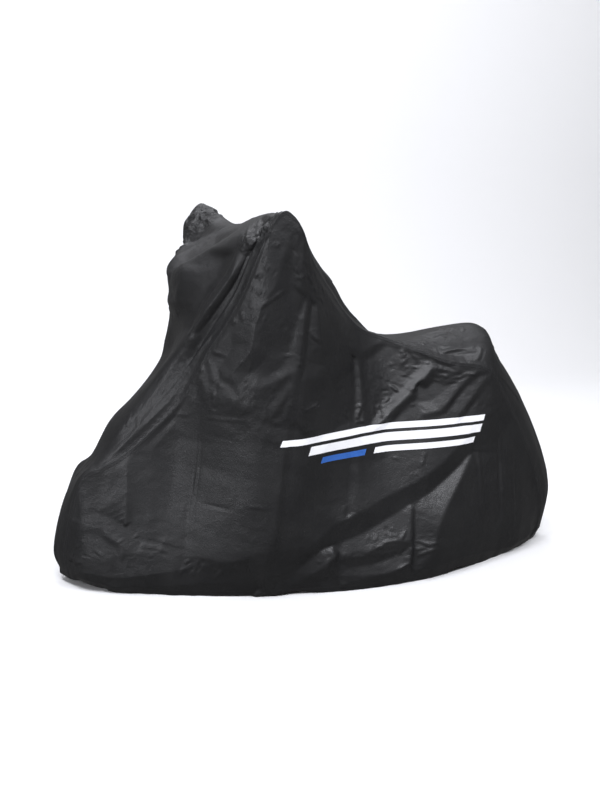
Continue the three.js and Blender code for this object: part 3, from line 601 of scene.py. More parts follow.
def even_steps(rows, count):
    """Section numbers spaced evenly along the panel, by the mean of its hem and seam lengths."""
    t = np.linspace(0, LAST, 1200)
    r = along(rows, t)
    hem_step = np.linalg.norm(np.diff(r[:, :2], axis=0), axis=1)
    seam_step = np.linalg.norm(np.diff(r[:, 2:5], axis=0), axis=1)
    length = np.concatenate([[0], np.cumsum(0.5 * hem_step + 0.5 * seam_step)])
    return np.interp(np.linspace(0, length[-1], count), length, t)


def cloth_mesh(name, points, outward, **maps):
    """A sheet from a grid of points, with places on the cloth kept as UV maps in metres.

    outward is 1 or -1, so that the faces look out.
    """
    rows, cols = points.shape[:2]
    index = np.arange(rows * cols).reshape(rows, cols)
    quads = np.stack([index[:-1, :-1], index[1:, :-1], index[1:, 1:], index[:-1, 1:]], -1).reshape(-1, 4)
    if outward < 0:
        quads = quads[:, ::-1]
    mesh = bpy.data.meshes.new(name)
    mesh.from_pydata(points.reshape(-1, 3).tolist(), [], quads.tolist())
    corner = np.zeros(len(mesh.loops), np.int32)
    mesh.loops.foreach_get("vertex_index", corner)
    for key, place in maps.items():
        layer = mesh.uv_layers.new(name=key)
        layer.data.foreach_set("uv", place.reshape(-1, 2)[corner].astype(np.float32).ravel())
    mesh.polygons.foreach_set("use_smooth", np.ones(len(mesh.polygons), bool))
    mesh.update()
    piece = bpy.data.objects.new(name, mesh)
    bpy.context.scene.collection.objects.link(piece)
    return piece


def node(tree, kind, links=None, **values):
    """A shader node with its settings; links gives the outputs that go into its inputs."""
    made = tree.nodes.new(kind)
    for key, value in values.items():
        if hasattr(made, key):
            setattr(made, key, value)
        else:
            made.inputs[key.replace("_", " ")].default_value = value
    for key, output in (links or {}).items():
        tree.links.new(output, made.inputs[key])
    return made


def maths(tree, operation, *values):
    """Output of a maths node; each value is a number or another node's output."""
    made = tree.nodes.new("ShaderNodeMath")
    made.operation = operation
    for k, value in enumerate(values):
        if isinstance(value, (int, float)):
            made.inputs[k].default_value = value
        else:
            tree.links.new(value, made.inputs[k])
    return made.outputs[0]


def plus(tree, first, second):
    """The sum of two sockets or numbers."""
    return maths(tree, "ADD", first, second)


def times(tree, first, second):
    """The product of two sockets or numbers."""
    return maths(tree, "MULTIPLY", first, second)


def ranged(tree, value, start, stop, low=0.0, high=1.0):
    """A value that runs from start to stop, brought to run from low to high."""
    made = node(tree, "ShaderNodeMapRange", {"Value": value}, From_Min=start, From_Max=stop,
                To_Min=low, To_Max=high)
    return made.outputs["Result"]


def tinted(tree, share, first, second):
    """Colour between two others; each is a colour or another node's output."""
    made = tree.nodes.new("ShaderNodeMix")
    made.data_type = "RGBA"
    tree.links.new(share, made.inputs[0])
    for k, colour in ((6, first), (7, second)):
        if isinstance(colour, tuple):
            made.inputs[k].default_value = colour
        else:
            tree.links.new(colour, made.inputs[k])
    return made.outputs[2]


# Where the cloth is crushed tight: middle and reach in metres, then how strongly.
CRUSHED_SPOTS = {
    "right horn": (-0.335, 0.310, 1.190, 0.10, 1.0),
    "lobe": (-0.425, 0.230, 1.095, 0.09, 0.8),
    "switch knob": (-0.275, -0.325, 1.175, 0.055, 1.0),
    "lever knob": (-0.315, -0.315, 1.140, 0.050, 1.0),
    "tank side": (0.140, -0.270, 0.700, 0.17, 0.15),
}


# How much each adds to the height: facets, fine crumple, grain, and the foil-like crushed spots.
FACET_SHARE, CRUMPLE_SHARE, GRAIN_SHARE, FOIL_SHARE = 0.30, 0.25, 0.22, 1.9


def fine_creases(tree, place):
    """Height of facets too small for the mesh, in patches and at the crushed spots, and of the grain."""
    patch = node(tree, "ShaderNodeTexNoise", {"Vector": place}, Scale=6.0, Detail=2.0)
    amount = ranged(tree, patch.outputs["Fac"], 0.4, 0.68, 0.12, 1.0)
    bent = node(tree, "ShaderNodeTexNoise", {"Vector": place}, Scale=18.0, Detail=3.0)
    spread = node(tree, "ShaderNodeVectorMath", {0: bent.outputs["Color"], 2: place},
                  operation="MULTIPLY_ADD")
    spread.inputs[1].default_value = (0.035, 0.035, 0.035)
    crush, foil = (node(tree, "ShaderNodeTexVoronoi", {"Vector": spread.outputs["Vector"]}, Scale=scale,
                        feature="F1", distance="MANHATTAN").outputs["Distance"] for scale in (34.0, 38.0))
    fine_crush = node(tree, "ShaderNodeTexNoise", {"Vector": place}, Scale=110.0, Detail=3.0)
    rise = plus(tree, times(tree, crush, FACET_SHARE),
                times(tree, fine_crush.outputs["Fac"], CRUMPLE_SHARE))
    tight = 0.0
    for x, y, z, reach, share in CRUSHED_SPOTS.values():
        away = node(tree, "ShaderNodeVectorMath", {0: place}, operation="DISTANCE")
        away.inputs[1].default_value = (x, y, z)
        near = ranged(tree, away.outputs["Value"], reach, 0.5 * reach, 0.0, share)
        tight = maths(tree, "MAXIMUM", near, tight)
    grain = node(tree, "ShaderNodeTexNoise", {"Vector": place}, Scale=230.0, Detail=2.0)
    fold = plus(tree, times(tree, rise, amount), times(tree, grain.outputs["Fac"], GRAIN_SHARE))
    return plus(tree, fold, times(tree, foil, times(tree, tight, FOIL_SHARE)))


# Stitches in metres: their pitch, and the share of it that shows.
STITCH_PITCH, STITCH_SHARE = 0.0042, 0.76
# The two rows' distance from the seam, the hem row's height, and half the thread's width.
SEAM_ROWS, HEM_ROW, THREAD = (0.0028, 0.0096), 0.0195, 0.0004


def stitches(tree, run, down, height):
    """1 on a stitch: two rows along the seam's felled strip, one row along the hem."""
    dash = maths(tree, "FRACT", maths(tree, "DIVIDE", run, STITCH_PITCH))
    rows = maths(tree, "COMPARE", height, HEM_ROW, THREAD)
    for row in SEAM_ROWS:
        rows = plus(tree, maths(tree, "COMPARE", down, row, THREAD), rows)
    return times(tree, maths(tree, "LESS_THAN", dash, STITCH_SHARE), rows)


SILVER = (0.80, 0.80, 0.82, 1)
BLUE = (0.014, 0.10, 0.40, 1)
# Printed stripes: centre x and height, half length and half height, in metres, and ink.
PRINT_STRIPES = (
    (0.150, 0.512, 0.385, 0.0100, SILVER),
    (0.190, 0.478, 0.330, 0.0135, SILVER),
    (0.300, 0.441, 0.190, 0.0095, SILVER),
    (-0.010, 0.441, 0.085, 0.0095, BLUE),
)
# How far the stripes' ends lean sideways for each unit up.
PRINT_LEAN = 0.42
# Colours of the cloth, of its rubbed places and of the thread.
BLACK = (0.0062, 0.0062, 0.0070, 1)
RUBBED_BLACK = (0.0086, 0.0085, 0.0090, 1)
THREAD_BLACK = (0.016, 0.016, 0.018, 1)
# The felled strip ends between these distances from the seam, in metres; a stitch stands up from it
# by this share of its thickness. Thread and ink dull the gloss by this much.
STRIP_END = (0.0125, 0.0115)
STITCH_RISE = 0.7
THREAD_DULL, INK_DULL = 0.25, 0.16


def screen_print(tree, colour):
    """The cloth's colour with the stripes printed on it, and 1 where there is ink."""
    print_map = node(tree, "ShaderNodeUVMap", uv_map="print").outputs["UV"]
    at = node(tree, "ShaderNodeSeparateXYZ", {"Vector": print_map})
    film = 0.0
    for x, z, half_x, half_z, ink in PRINT_STRIPES:
        up = maths(tree, "SUBTRACT", at.outputs["Y"], z)
        side = maths(tree, "SUBTRACT", maths(tree, "SUBTRACT", at.outputs["X"], x),
                     times(tree, up, PRINT_LEAN))
        inside = times(tree, maths(tree, "LESS_THAN", maths(tree, "ABSOLUTE", up), half_z),
                       maths(tree, "LESS_THAN", maths(tree, "ABSOLUTE", side), half_x))
        colour = tinted(tree, inside, colour, ink)
        film = maths(tree, "MAXIMUM", inside, film)
    return colour, film


def coated_cloth(name, printed):
    """Black polyester, woven plain, with a thin coating that gives it a soft gloss and keeps creases."""
    mat = bpy.data.materials.new(name)
    mat.use_nodes = True
    tree = mat.node_tree
    link = tree.links.new
    shader = tree.nodes["Principled BSDF"]
    shader.inputs["Specular IOR Level"].default_value = 0.5
    shader.inputs["Sheen Weight"].default_value = 0.01
    shader.inputs["Coat Weight"].default_value = 0.20
    shader.inputs["Coat Roughness"].default_value = 0.20
    place = node(tree, "ShaderNodeTexCoord").outputs["Object"]
    cloth = node(tree, "ShaderNodeUVMap", uv_map="cloth").outputs["UV"]
    across = node(tree, "ShaderNodeSeparateXYZ", {"Vector": cloth})
    height = node(tree, "ShaderNodeSeparateXYZ", {"Vector": place}).outputs["Z"]
    run, down = across.outputs["X"], across.outputs["Y"]
    bump = node(tree, "ShaderNodeBump", {"Height": fine_creases(tree, place)}, Strength=1.0, Distance=0.003)
    # The seam's felled strip is 12 mm wide and ends in a soft step.
    stitch = stitches(tree, run, down, height)
    strip = ranged(tree, down, *STRIP_END)
    sewn = plus(tree, strip, times(tree, stitch, STITCH_RISE))
    seam_bump = node(tree, "ShaderNodeBump", {"Height": sewn, "Normal": bump.outputs["Normal"]},
                     Strength=1.0, Distance=0.0006)
    weave = node(tree, "ShaderNodeTexBrick", {"Vector": cloth}, offset=0.5, Scale=1.0,
                 Color1=(1, 1, 1, 1), Color2=(0.75, 0.75, 0.75, 1), Mortar=(0, 0, 0, 1),
                 Mortar_Size=0.00008, Brick_Width=0.0008, Row_Height=0.0004)
    weave_bump = node(tree, "ShaderNodeBump", {"Height": weave.outputs["Color"],
                      "Normal": seam_bump.outputs["Normal"]}, Strength=0.3, Distance=0.0001)
    link(weave_bump.outputs["Normal"], shader.inputs["Normal"])
    link(weave_bump.outputs["Normal"], shader.inputs["Coat Normal"])
    # Dust and rubbed places change the gloss and the black a little; the thread is a shade paler.
    wear = node(tree, "ShaderNodeTexNoise", {"Vector": place}, Scale=11.0, Detail=5.0).outputs["Fac"]
    rough = ranged(tree, wear, 0.3, 0.7, 0.50, 0.58)
    rough = plus(tree, rough, times(tree, stitch, THREAD_DULL))
    colour = tinted(tree, ranged(tree, wear, 0.35, 0.75), BLACK, RUBBED_BLACK)
    colour = tinted(tree, stitch, colour, THREAD_BLACK)
    if printed:
        # The ink is a thin film that dulls the gloss.
        colour, film = screen_print(tree, colour)
        rough = plus(tree, rough, times(tree, film, INK_DULL))
    link(colour, shader.inputs["Base Color"])
    link(rough, shader.inputs["Roughness"])
    return mat


left_points, left_cloth, left_print = side_surface(
    LEFT_ROWS, -1, LEFT_NET, LEFT_TUCKS, LEFT_ZONES, 11)
side_panel_left = cloth_mesh("side_panel_left_cloth", left_points, 1, cloth=left_cloth, print=left_print)
side_panel_left.data.materials.append(coated_cloth("coated_cloth_printed", True))
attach(side_panel_left, "root")
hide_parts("side_panel_left")


# Right side panel. The same cut as the left one, on the far side. Its high point at the grip lies
# further forward, so the sections around it and all its creases differ. The tables have the same
# columns as the left ones, and a section that isn't listed is the left one's.
RIGHT_SECTIONS = {
    "wheel front": (-820, 124, -838, 100, 350, -850, 80, 338, -862, 45, 318),
    "wheel top": (-750, 168, -766, 122, 395, -775, 102, 405, -780, 65, 413),
    "mudguard": (-690, 193, -690, 137, 450, -702, 118, 475, -708, 85, 515),
    "fork low": (-600, 230, -570, 167, 570, -600, 138, 580, -630, 100, 595),
    "fork": (-540, 253, -480, 203, 680, -505, 165, 705, -535, 120, 725),
    "lamp low": (-480, 276, -440, 240, 790, -464, 200, 820, -498, 130, 840),
    "lamp": (-425, 296, -410, 285, 885, -438, 240, 915, -482, 150, 940),
    "lamp top": (-395, 305, -400, 330, 985, -430, 280, 1000, -466, 170, 1010),
    "lever low": (-380, 310, -398, 358, 1085, -420, 305, 1088, -444, 190, 1070),
    "lever": (-366, 314, -384, 374, 1178, -394, 325, 1158, -398, 220, 1108),
    "grip front": (-338, 321, -335, 380, 1235, -312, 300, 1193, -297, 190, 1166),
    "grip back": (-300, 329, -285, 380, 1203, -268, 300, 1182, -250, 190, 1162),
    "behind grip": (-250, 338, -250, 372, 1145, -228, 305, 1148, -195, 200, 1138),
    "shoulder": (-180, 348, -185, 332, 1065, -155, 270, 1083, -110, 160, 1078),
    "tank front": (-90, 357, -75, 255, 975, -45, 200, 988, -12, 120, 994),
}
RIGHT_ROWS = np.array([RIGHT_SECTIONS.get(k, v) for k, v in LEFT_SECTIONS.items()], float)
RIGHT_NET = {
    "front crease": (-672, 480, 1, -700, 250, 2, -726, 20, 2),
    "front foot": (-650, 480, -5, -680, 250, -6, -704, 20, -4),
    "crease 2": (-462, 600, 7, -500, 320, 8, -530, 160, 8, -552, 20, 6),
    "crease 2 foot": (-440, 600, 0, -480, 320, 0, -508, 160, 0, -530, 20, 0),
    "crease 3": (-214, 600, -6, -246, 300, -8, -268, 60, -5),
    "crease 3 lip": (-236, 600, 1, -268, 300, 1, -290, 60, 1),
    "crease 4": (70, 560, 5, 20, 320, 6, -24, 40, 4),
    "crease 4 foot": (92, 560, -1, 42, 320, -1, -4, 40, -1),
    "crease 5": (300, 600, -7, 252, 300, -8, 216, 20, -4),
    "crease 5 lip": (280, 600, 0, 232, 300, 1, 198, 20, 2),
    "pull ridge": (440, 480, 7, 330, 420, 9, 200, 330, 8, 40, 250, 6, -80, 200, 4),
    "pull line": (450, 410, -6, 300, 340, -10, 160, 250, -10, 20, 190, -9, -90, 140, -5),
    "flap ridge": (460, 400, 0, 410, 300, 10, 350, 180, 16, 320, 80, 12),
    "flap foot": (520, 340, 0, 480, 220, 3, 460, 90, 3),
    "low band": (20, 110, 5, 100, 128, 7, 196, 150, 7),
    "low lip": (0, 30, 6, 90, 48, 8, 190, 72, 9),
    "grip ridge": (-262, 1130, 6, -300, 1020, 10, -344, 930, 10, -372, 840, 9, -410, 760, 8,
        -450, 680, 5),
    "grip dark": (-246, 1080, -2, -268, 980, -4, -300, 900, -2, -330, 800, -1, -380, 700, -2),
    "strip valley": (-190, 960, -8, -220, 880, -9, -240, 790, -8, -300, 720, -7),
    "strip": (-172, 966, 0, -194, 880, 2, -208, 790, 2, -220, 700, 3),
    "fork strip": (-350, 570, 4, -300, 620, 7, -262, 680, 6, -230, 730, 4),
    "fork valley": (-370, 600, -3, -320, 650, -4, -280, 710, -3),
    "fork crease 1": (-470, 740, 4, -452, 690, 5, -440, 640, 2),
    "fork crease 2": (-420, 740, -4, -405, 690, -4, -390, 640, -2),
    "tank crease": (84, 740, 6, 82, 640, 8, 88, 520, 6),
    "tank crease foot": (62, 740, -4, 60, 640, -5, 62, 520, -4),
    "gloss ridge": (330, 680, 8, 260, 610, 12, 180, 550, 12, 90, 500, 7),
    "gloss top": (305, 704, -3, 238, 636, -4, 158, 580, -4, 84, 532, -1),
    "gloss foot": (350, 630, -8, 280, 570, -6, 200, 510, -3, 110, 460, 0),
    "tail strip": (310, 540, 4, 380, 560, 7, 450, 620, 7, 500, 655, 4),
    "tail strip top": (345, 590, -8, 420, 650, -5),
    "seat crease": (295, 756, 6, 370, 728, 9, 430, 712, 5),
    "seat crease foot": (305, 732, -4, 385, 702, -5, 430, 690, -3),
    "rear line": (650, 440, 2, 620, 280, 4, 600, 140, 3),
    "rear line foot": (625, 440, -2, 594, 280, -2, 576, 140, -1),
}
RIGHT_TUCKS = {
    "packing line 1": (-520, 560, -430, 556, -330, 562, 10, 9, 1.8),
    "packing line 2": (-240, 300, -120, 306, 0, 300, 10, 10, -2.0),
    "packing line 3": (60, 300, 160, 296, 250, 302, 10, 10, 2.0),
    "front fold": (-780, 270, -735, 215, -700, 150, 26, 12, 4.0),
    "low tuck 1": (-690, 200, -610, 150, -520, 130, 30, 14, 5.0),
    "low tuck 2": (-300, 60, -230, 120, -180, 190, 26, 14, 5.0),
    "low tuck 3": (80, 40, 150, 90, 200, 170, 24, 14, 5.0),
    "fork tuck 1": (-420, 600, -350, 660, -300, 750, 26, 14, 5.0),
    "fork tuck 2": (-500, 660, -460, 620, -420, 560, 24, 14, 4.0),
    "grip fold 1": (-240, 1080, -262, 900, -300, 760, 26, 18, 5.0),
    "grip fold 2": (-330, 1150, -350, 1020, -370, 860, 24, 26, 5.0),
    "grip fold 3": (-270, 1090, -220, 1010, -170, 950, 14, 10, 3.0),
    "tank side 1": (10, 850, -30, 760, -90, 680, 26, 16, 4.5),
    "tank side 2": (70, 830, 120, 750, 180, 690, 24, 16, 4.0),
    "gloss 1": (290, 690, 240, 630, 170, 580, 26, 10, 6.0),
    "gloss 2": (170, 580, 120, 540, 60, 520, 24, 10, 5.0),
    "gather 1": (225, 764, 232, 730, 244, 690, 9, 8, 3.2),
    "gather 2": (262, 754, 270, 724, 286, 690, 9, 8, 3.2),
    "tail line 1": (540, 676, 450, 630, 340, 570, 12, 22, -4.0),
    "streak": (480, 500, 400, 430, 260, 380, 18, 12, 5.0),
    "pull lip": (440, 410, 250, 300, 60, 210, 10, 30, -5.0),
    "flap edge": (470, 390, 360, 240, 270, 60, 30, 18, 5.0),
    "rear tuck": (810, 76, 740, 50, 600, 34, 26, 18, 5.0),
}
RIGHT_ZONES = {
    "fork": (-400, 660, 130, 120, 0.40, 24, -60),
    "lever": (-300, 1080, 60, 110, 0.45, 20, -50),
    "shoulder": (-190, 990, 60, 90, 0.45, 14, -40),
    "tank": (0, 790, 120, 100, 0.30, 12, -50),
    "seat corner": (240, 700, 90, 80, 0.70, 16, 35),
    "seat side": (430, 670, 110, 60, 0.50, 16, 5),
    "low rear": (150, 110, 170, 80, 0.40, 20, 15),
    "low front": (-520, 110, 120, 80, 0.35, 16, 60),
    "nose": (-845, 120, 45, 70, 0.35, 8, -20),
}
right_points, right_cloth, _ = side_surface(
    RIGHT_ROWS, 1, RIGHT_NET, RIGHT_TUCKS, RIGHT_ZONES, 271)
plain_cloth = coated_cloth("coated_cloth_plain", False)
side_panel_right = cloth_mesh("side_panel_right_cloth", right_points, -1, cloth=right_cloth)
side_panel_right.data.materials.append(plain_cloth)
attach(side_panel_right, "root")
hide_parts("side_panel_right")


# Centre panel. One long cut of the same cloth from the nose hem over the two high points and the
# seat to the tail hem, sewn to a side panel along each edge. The cloth is pulled into ridges.
# Middle line of the panel, x and height in each section.
SPINE = (
    (-909, 45), (-924, 120), (-877, 300), (-790, 420), (-726, 532), (-644, 616), (-534, 735),
    (-500, 860), (-516, 945), (-515, 1018), (-478, 1050), (-398, 1096), (-277, 1168), (-205, 1150),
    (-120, 1113), (-42, 1063), (30, 992), (74, 908), (155, 809), (222, 766), (342, 783),
    (480, 805), (592, 806), (644, 720), (762, 548), (853, 360), (899, 190), (868, 40),
)
# Its hem at the two short ends, from the side seam to the middle.
NOSE_HEM = ((-881, 60, 22), (-896, 32, 25), (-906, 13, 27), (-909, 0, 28))
TAIL_HEM = ((795, 60, 0), (828, 34, 0), (845, 14, 0), (850, 0, 0))
# Edges of its flat facets: section number, place across (0 left seam, 3 middle, 6 right seam), height.
TOP_NET = {
    "seam side": (2.0, 0, 0, 5.0, 0, 0, 8.0, 0, 0, 11.0, 0, 0),
    "knee ridge": (3.2, 0.5, 3, 4.2, 0.8, 7, 5.0, 1.05, 10, 6.0, 1.1, 11, 7.0, 0.8, 9, 8.0, 0.5, 5),
    "band edge": (3.0, 1.8, 2, 4.5, 1.85, 2, 5.6, 1.75, 3, 6.3, 1.5, 3, 6.8, 1.95, 4),
    "rib edge": (6.9, 1.85, 8, 8.0, 1.8, 13, 9.4, 1.75, 14, 10.4, 1.95, 11),
    "rib side": (7.2, 1.55, -1, 8.0, 1.5, -3, 9.4, 1.45, -3, 10.2, 1.55, -2),
    "rib dark": (7.0, 2.15, -8, 8.0, 2.2, -11, 9.2, 2.15, -11, 10.3, 2.3, -8),
    "dark face": (6.6, 1.0, 3, 7.6, 1.0, 6, 8.5, 1.0, 8, 9.5, 1.0, 8, 10.3, 1.0, 7, 11.2, 1.0, 4),
    "upper ridge": (7.2, 2.75, 5, 8.0, 2.65, 12, 8.8, 2.6, 15, 9.8, 2.75, 16, 10.6, 2.6, 14,
        11.4, 2.3, 10),
    "upper foot": (8.2, 2.95, -5, 9.4, 3.05, -9, 10.4, 3.0, -8, 11.2, 2.8, -5),
    "far ridge": (9.2, 3.4, 9, 10.2, 3.35, 14, 11.0, 3.3, 14, 11.8, 3.25, 9),
    "lobe": (9.5, 4.35, 9, 10.2, 4.0, 14, 10.8, 3.75, 11),
    "horn crease": (10.0, 4.6, -10, 10.7, 4.25, -13, 11.3, 4.0, -9),
    "horn ridge": (11.0, 5.3, 9, 11.6, 4.9, 15, 12.2, 4.6, 12),
    "lamp line": (6.95, 2.25, -4, 6.5, 3.0, -7, 6.05, 3.75, -6),
    "lamp edge": (7.35, 2.6, 4, 6.95, 3.2, 5, 6.5, 3.8, 4),
    "tank line 1": (15.3, 0.6, 3, 16.2, 1.2, 6, 17.4, 1.6, 5, 18.3, 2.2, 2),
    "tank foot 1": (15.8, 0.5, -3, 16.8, 0.9, -4, 17.9, 1.4, -3),
    "tank line 2": (15.4, 5.2, 3, 16.4, 4.6, 6, 17.6, 4.0, 4),
    "seat line 1": (19.4, 0.9, 4, 20.2, 0.8, 5, 21.0, 0.9, 5, 21.7, 0.6, 3),
    "seat foot 1": (19.6, 0.5, -3, 20.4, 0.45, -4, 21.2, 0.5, -3),
    "seat line 2": (20.2, 2.4, 4, 20.8, 1.6, 5, 21.6, 1.1, 4),
    "seat line 3": (20.6, 5.4, 4, 21.2, 4.6, 5, 21.9, 4.0, 3),
    "tail line 1": (22.2, 1.0, 4, 23.0, 1.4, 6, 24.0, 1.6, 4),
    "tail line 2": (22.4, 4.6, 4, 23.2, 4.2, 5, 24.2, 4.4, 3),
    "rear line": (24.6, 2.4, 3, 25.3, 2.0, 4, 26.2, 1.6, 2),
    "wheel line": (0.8, 2.4, 3, 1.6, 2.0, 4, 2.6, 2.2, 3),
}
# Its narrow creases: x, y and z of start, middle and end, the half widths of both sides, and height.
TOP_TUCKS = {
    "horn line": (-418, 280, 1110, -394, 239, 1115, -374, 197, 1121, 12, 8, -4.0),
    "upper line": (-470, 60, 1056, -380, 100, 1115, -296, 179, 1165, 14, 9, 4.0),
    "rib line": (-344, -288, 1102, -386, -264, 1022, -455, -205, 909, 12, 14, 4.0),
    "band line 1": (-500, -160, 800, -592, -129, 650, -690, -112, 530, 10, 14, 1.2),
    "band line 2": (-488, -189, 710, -564, -154, 610, -660, -137, 515, 12, 10, 1.2),
    "band line 3": (-607, -122, 639, -690, -114, 527, -790, -80, 420, 9, 10, -1.0),
    "lever knob": (-304, -322, 1146, -312, -312, 1138, -320, -302, 1128, 19, 19, 11.0),
    "lever knob lip": (-322, -318, 1120, -330, -306, 1130, -338, -292, 1134, 8, 8, -6.0),
    "switch knob": (-264, -340, 1184, -272, -330, 1176, -282, -318, 1166, 19, 19, 11.0),
    "switch lip": (-290, -334, 1150, -296, -322, 1160, -300, -310, 1166, 8, 8, -6.0),
    "far face 1": (-330, 350, 1215, -350, 320, 1180, -380, 300, 1130, 14, 10, 4.0),
    "far face 2": (-310, 330, 1205, -340, 280, 1160, -350, 230, 1125, 12, 10, -4.0),
    "bar top 1": (-250, -250, 1205, -262, -100, 1188, -275, 40, 1172, 20, 14, 4.0),
    "bar top 2": (-200, -240, 1195, -180, -120, 1162, -190, 40, 1150, 22, 14, 4.0),
    "seat wrinkle 1": (240, -110, 775, 340, -110, 768, 426, -140, 745, 10, 8, 3.0),
    "seat wrinkle 2": (371, -92, 775, 437, -70, 787, 480, -125, 758, 10, 8, 3.4),
    "seat wrinkle 3": (390, -150, 735, 424, -140, 742, 510, -130, 745, 9, 8, 3.4),
    "seat wrinkle 4": (545, -125, 755, 530, -145, 715, 500, -160, 700, 9, 9, 3.4),
    "tail line": (598, -141, 667, 680, -90, 580, 744, -70, 520, 14, 10, 3.4),
}


def top_base(t, v):
    """Points of the centre panel without folds; v runs 0 to 6 from the left seam to the right."""
    left, right, spine = along(LEFT_ROWS, t), along(RIGHT_ROWS, t), along(np.array(SPINE, float), t)
    mirror = np.array([1, -1, 1])
    middle = np.stack([spine[:, 0], 0 * spine[:, 0], spine[:, 1]], -1)
    lines = np.stack([left[:, 2:5] * mirror, left[:, 5:8] * mirror, left[:, 8:11] * mirror, middle,
                      right[:, 8:11], right[:, 5:8], right[:, 2:5]])
    i = np.clip(np.floor(v).astype(int), 0, 5)
    f = (v - i)[None, :, None]
    stops = [np.swapaxes(lines[np.clip(i + k, 0, 6)], 0, 1) for k in (-1, 0, 1, 2)]
    return smooth(*stops, f)


def end_hem(hem, v):
    """Points of the hem at a short end, from the left seam to the right, as one row."""
    row = [(x, -y, z) for x, y, z in hem] + [(x, y, z) for x, y, z in hem[2::-1]]
    return along(np.array(row, float), v)[None]


def turned_in(end, inward):
    """Rows of the hem's turned-in strip at a short end, from its raw edge to the fold."""
    return np.concatenate([end + np.array([inward * deep, 0, up]) for up, deep in HEM_FOLD])


# Where it is crumpled: x, y and z of the middle, reach each way, strength, number and slant of creases.
TOP_ZONES = {
    "left grip": (-270, -310, 1170, 80, 60, 60, 0.6, 10, 40),
    "right grip": (-340, 300, 1160, 90, 80, 70, 0.6, 14, 50),
    "lamp": (-500, 0, 950, 60, 120, 100, 0.4, 8, 20),
    "front ridge": (-450, -200, 900, 90, 60, 150, 0.3, 10, 20),
    "front band": (-620, -120, 620, 110, 60, 120, 0.3, 10, 10),
    "bar": (-250, 0, 1150, 120, 200, 60, 0.5, 16, 70),
    "tank": (20, 0, 980, 90, 140, 90, 0.5, 12, 60),
    "seat front": (190, -60, 790, 90, 80, 50, 0.6, 10, 30),
    "seat": (430, -80, 770, 130, 80, 50, 0.6, 20, 15),
    "tail": (600, -60, 720, 80, 100, 80, 0.5, 12, 20),
    "mudguard": (-820, 0, 390, 80, 100, 60, 0.4, 8, 30),
}
# Where it is crushed tight, at the grips and the knobs beside them, with the same columns.
TOP_CRUSHED = {
    "lever knob": (-310, -312, 1140, 34, 34, 34, 1.2, 5, 50),
    "switch knob": (-274, -330, 1178, 34, 34, 34, 1.2, 5, 50),
    "right horn": (-330, 320, 1185, 60, 80, 60, 3.0, 16, 60),
    "lobe": (-420, 230, 1095, 60, 70, 50, 2.5, 12, 60),
    "left grip": (-235, -340, 1215, 40, 60, 26, 1.0, 6, 80),
}
# Size of the facets and of the short creases there.
CRUSH = 34
# Folds die out over this width beside the seams.
TOP_CALM = 30
# Points of the mesh along the panel and across it.
TOP_ALONG, TOP_ACROSS = 530, 179
# Rows of the mesh between the hem and the first section at each short end.
HEM_ROWS = np.linspace(0, 1, 12)[:-1, None, None]
top_t = even_steps(LEFT_ROWS, TOP_ALONG)
top_v = np.linspace(0, 6, TOP_ACROSS)
top = top_base(top_t, top_v)
top_out = unit(np.cross(np.gradient(top, axis=0), np.gradient(top, axis=1)))
edge = np.linalg.norm(np.diff(top, axis=1), axis=2)
across = np.concatenate([0 * edge[:, :1], np.cumsum(edge, axis=1)], axis=1)
top_seam = np.minimum(across, across[:, -1:] - across)
top_run = running_length(top[:, TOP_ACROSS // 2]) + 0 * across
# The net is drawn with 100 mm to a section and 60 mm to a step across.
NET_SCALE = (100, 60)
net_t = NET_SCALE[0] * top_t[:, None] + 0 * across
net_v = NET_SCALE[1] * top_v[None, :] + 0 * across
main = softened(crease_net(TOP_NET, net_t, net_v, 184, NET_SCALE))
creases = TOP_TUCKS | short_creases(top, TOP_ZONES, 3, 140)
creases |= short_creases(top, TOP_CRUSHED, 3, 141, length=CRUSH, height=4.0)
fine = tucks_at(top, creases, 3)
fine = fine + random_folds(top_run, across, zones_at(top, TOP_ZONES, 3), 2.4, facet_seed=134,
                           crumple_seed=136, wave_seed=135, patch_seed=133)
fine = fine + 2.4 * zones_at(top, TOP_CRUSHED, 3) * crumple(top_run, across, 137, CRUSH)
puckers = puckers_at(running_length(top[:, 0]), top_seam, 181)
shape = end_fade(top_t) * (ease(top_seam / TOP_CALM) * (main + fine) + puckers)
top = top + top_out * shape[..., None]
# The short ends run on down to the hem on the ground, which is turned in as on the side panels.
nose, tail = end_hem(NOSE_HEM, top_v), end_hem(TAIL_HEM, top_v)
top = np.concatenate([
    turned_in(nose, 1),
    nose + (top[:1] - nose) * HEM_ROWS,
    top,
    (tail + (top[-1:] - tail) * HEM_ROWS)[::-1],
    turned_in(tail, -1)[::-1],
])
extra = len(HEM_FOLD) + len(HEM_ROWS)
across = np.pad(across, ((extra, extra), (0, 0)), "edge")
top_run = running_length(top[:, TOP_ACROSS // 2]) + 0 * across
top_seam = np.minimum(across, across[:, -1:] - across)
top_cloth = np.stack([top_run, top_seam], -1) / 1000
top_points = (top + np.array([MIDDLE_X, MIDDLE_Y, 0])) / 1000
centre_panel = cloth_mesh("centre_panel_cloth", top_points, 1, cloth=top_cloth)
centre_panel.data.materials.append(plain_cloth)
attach(centre_panel, "root")
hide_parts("centre_panel")


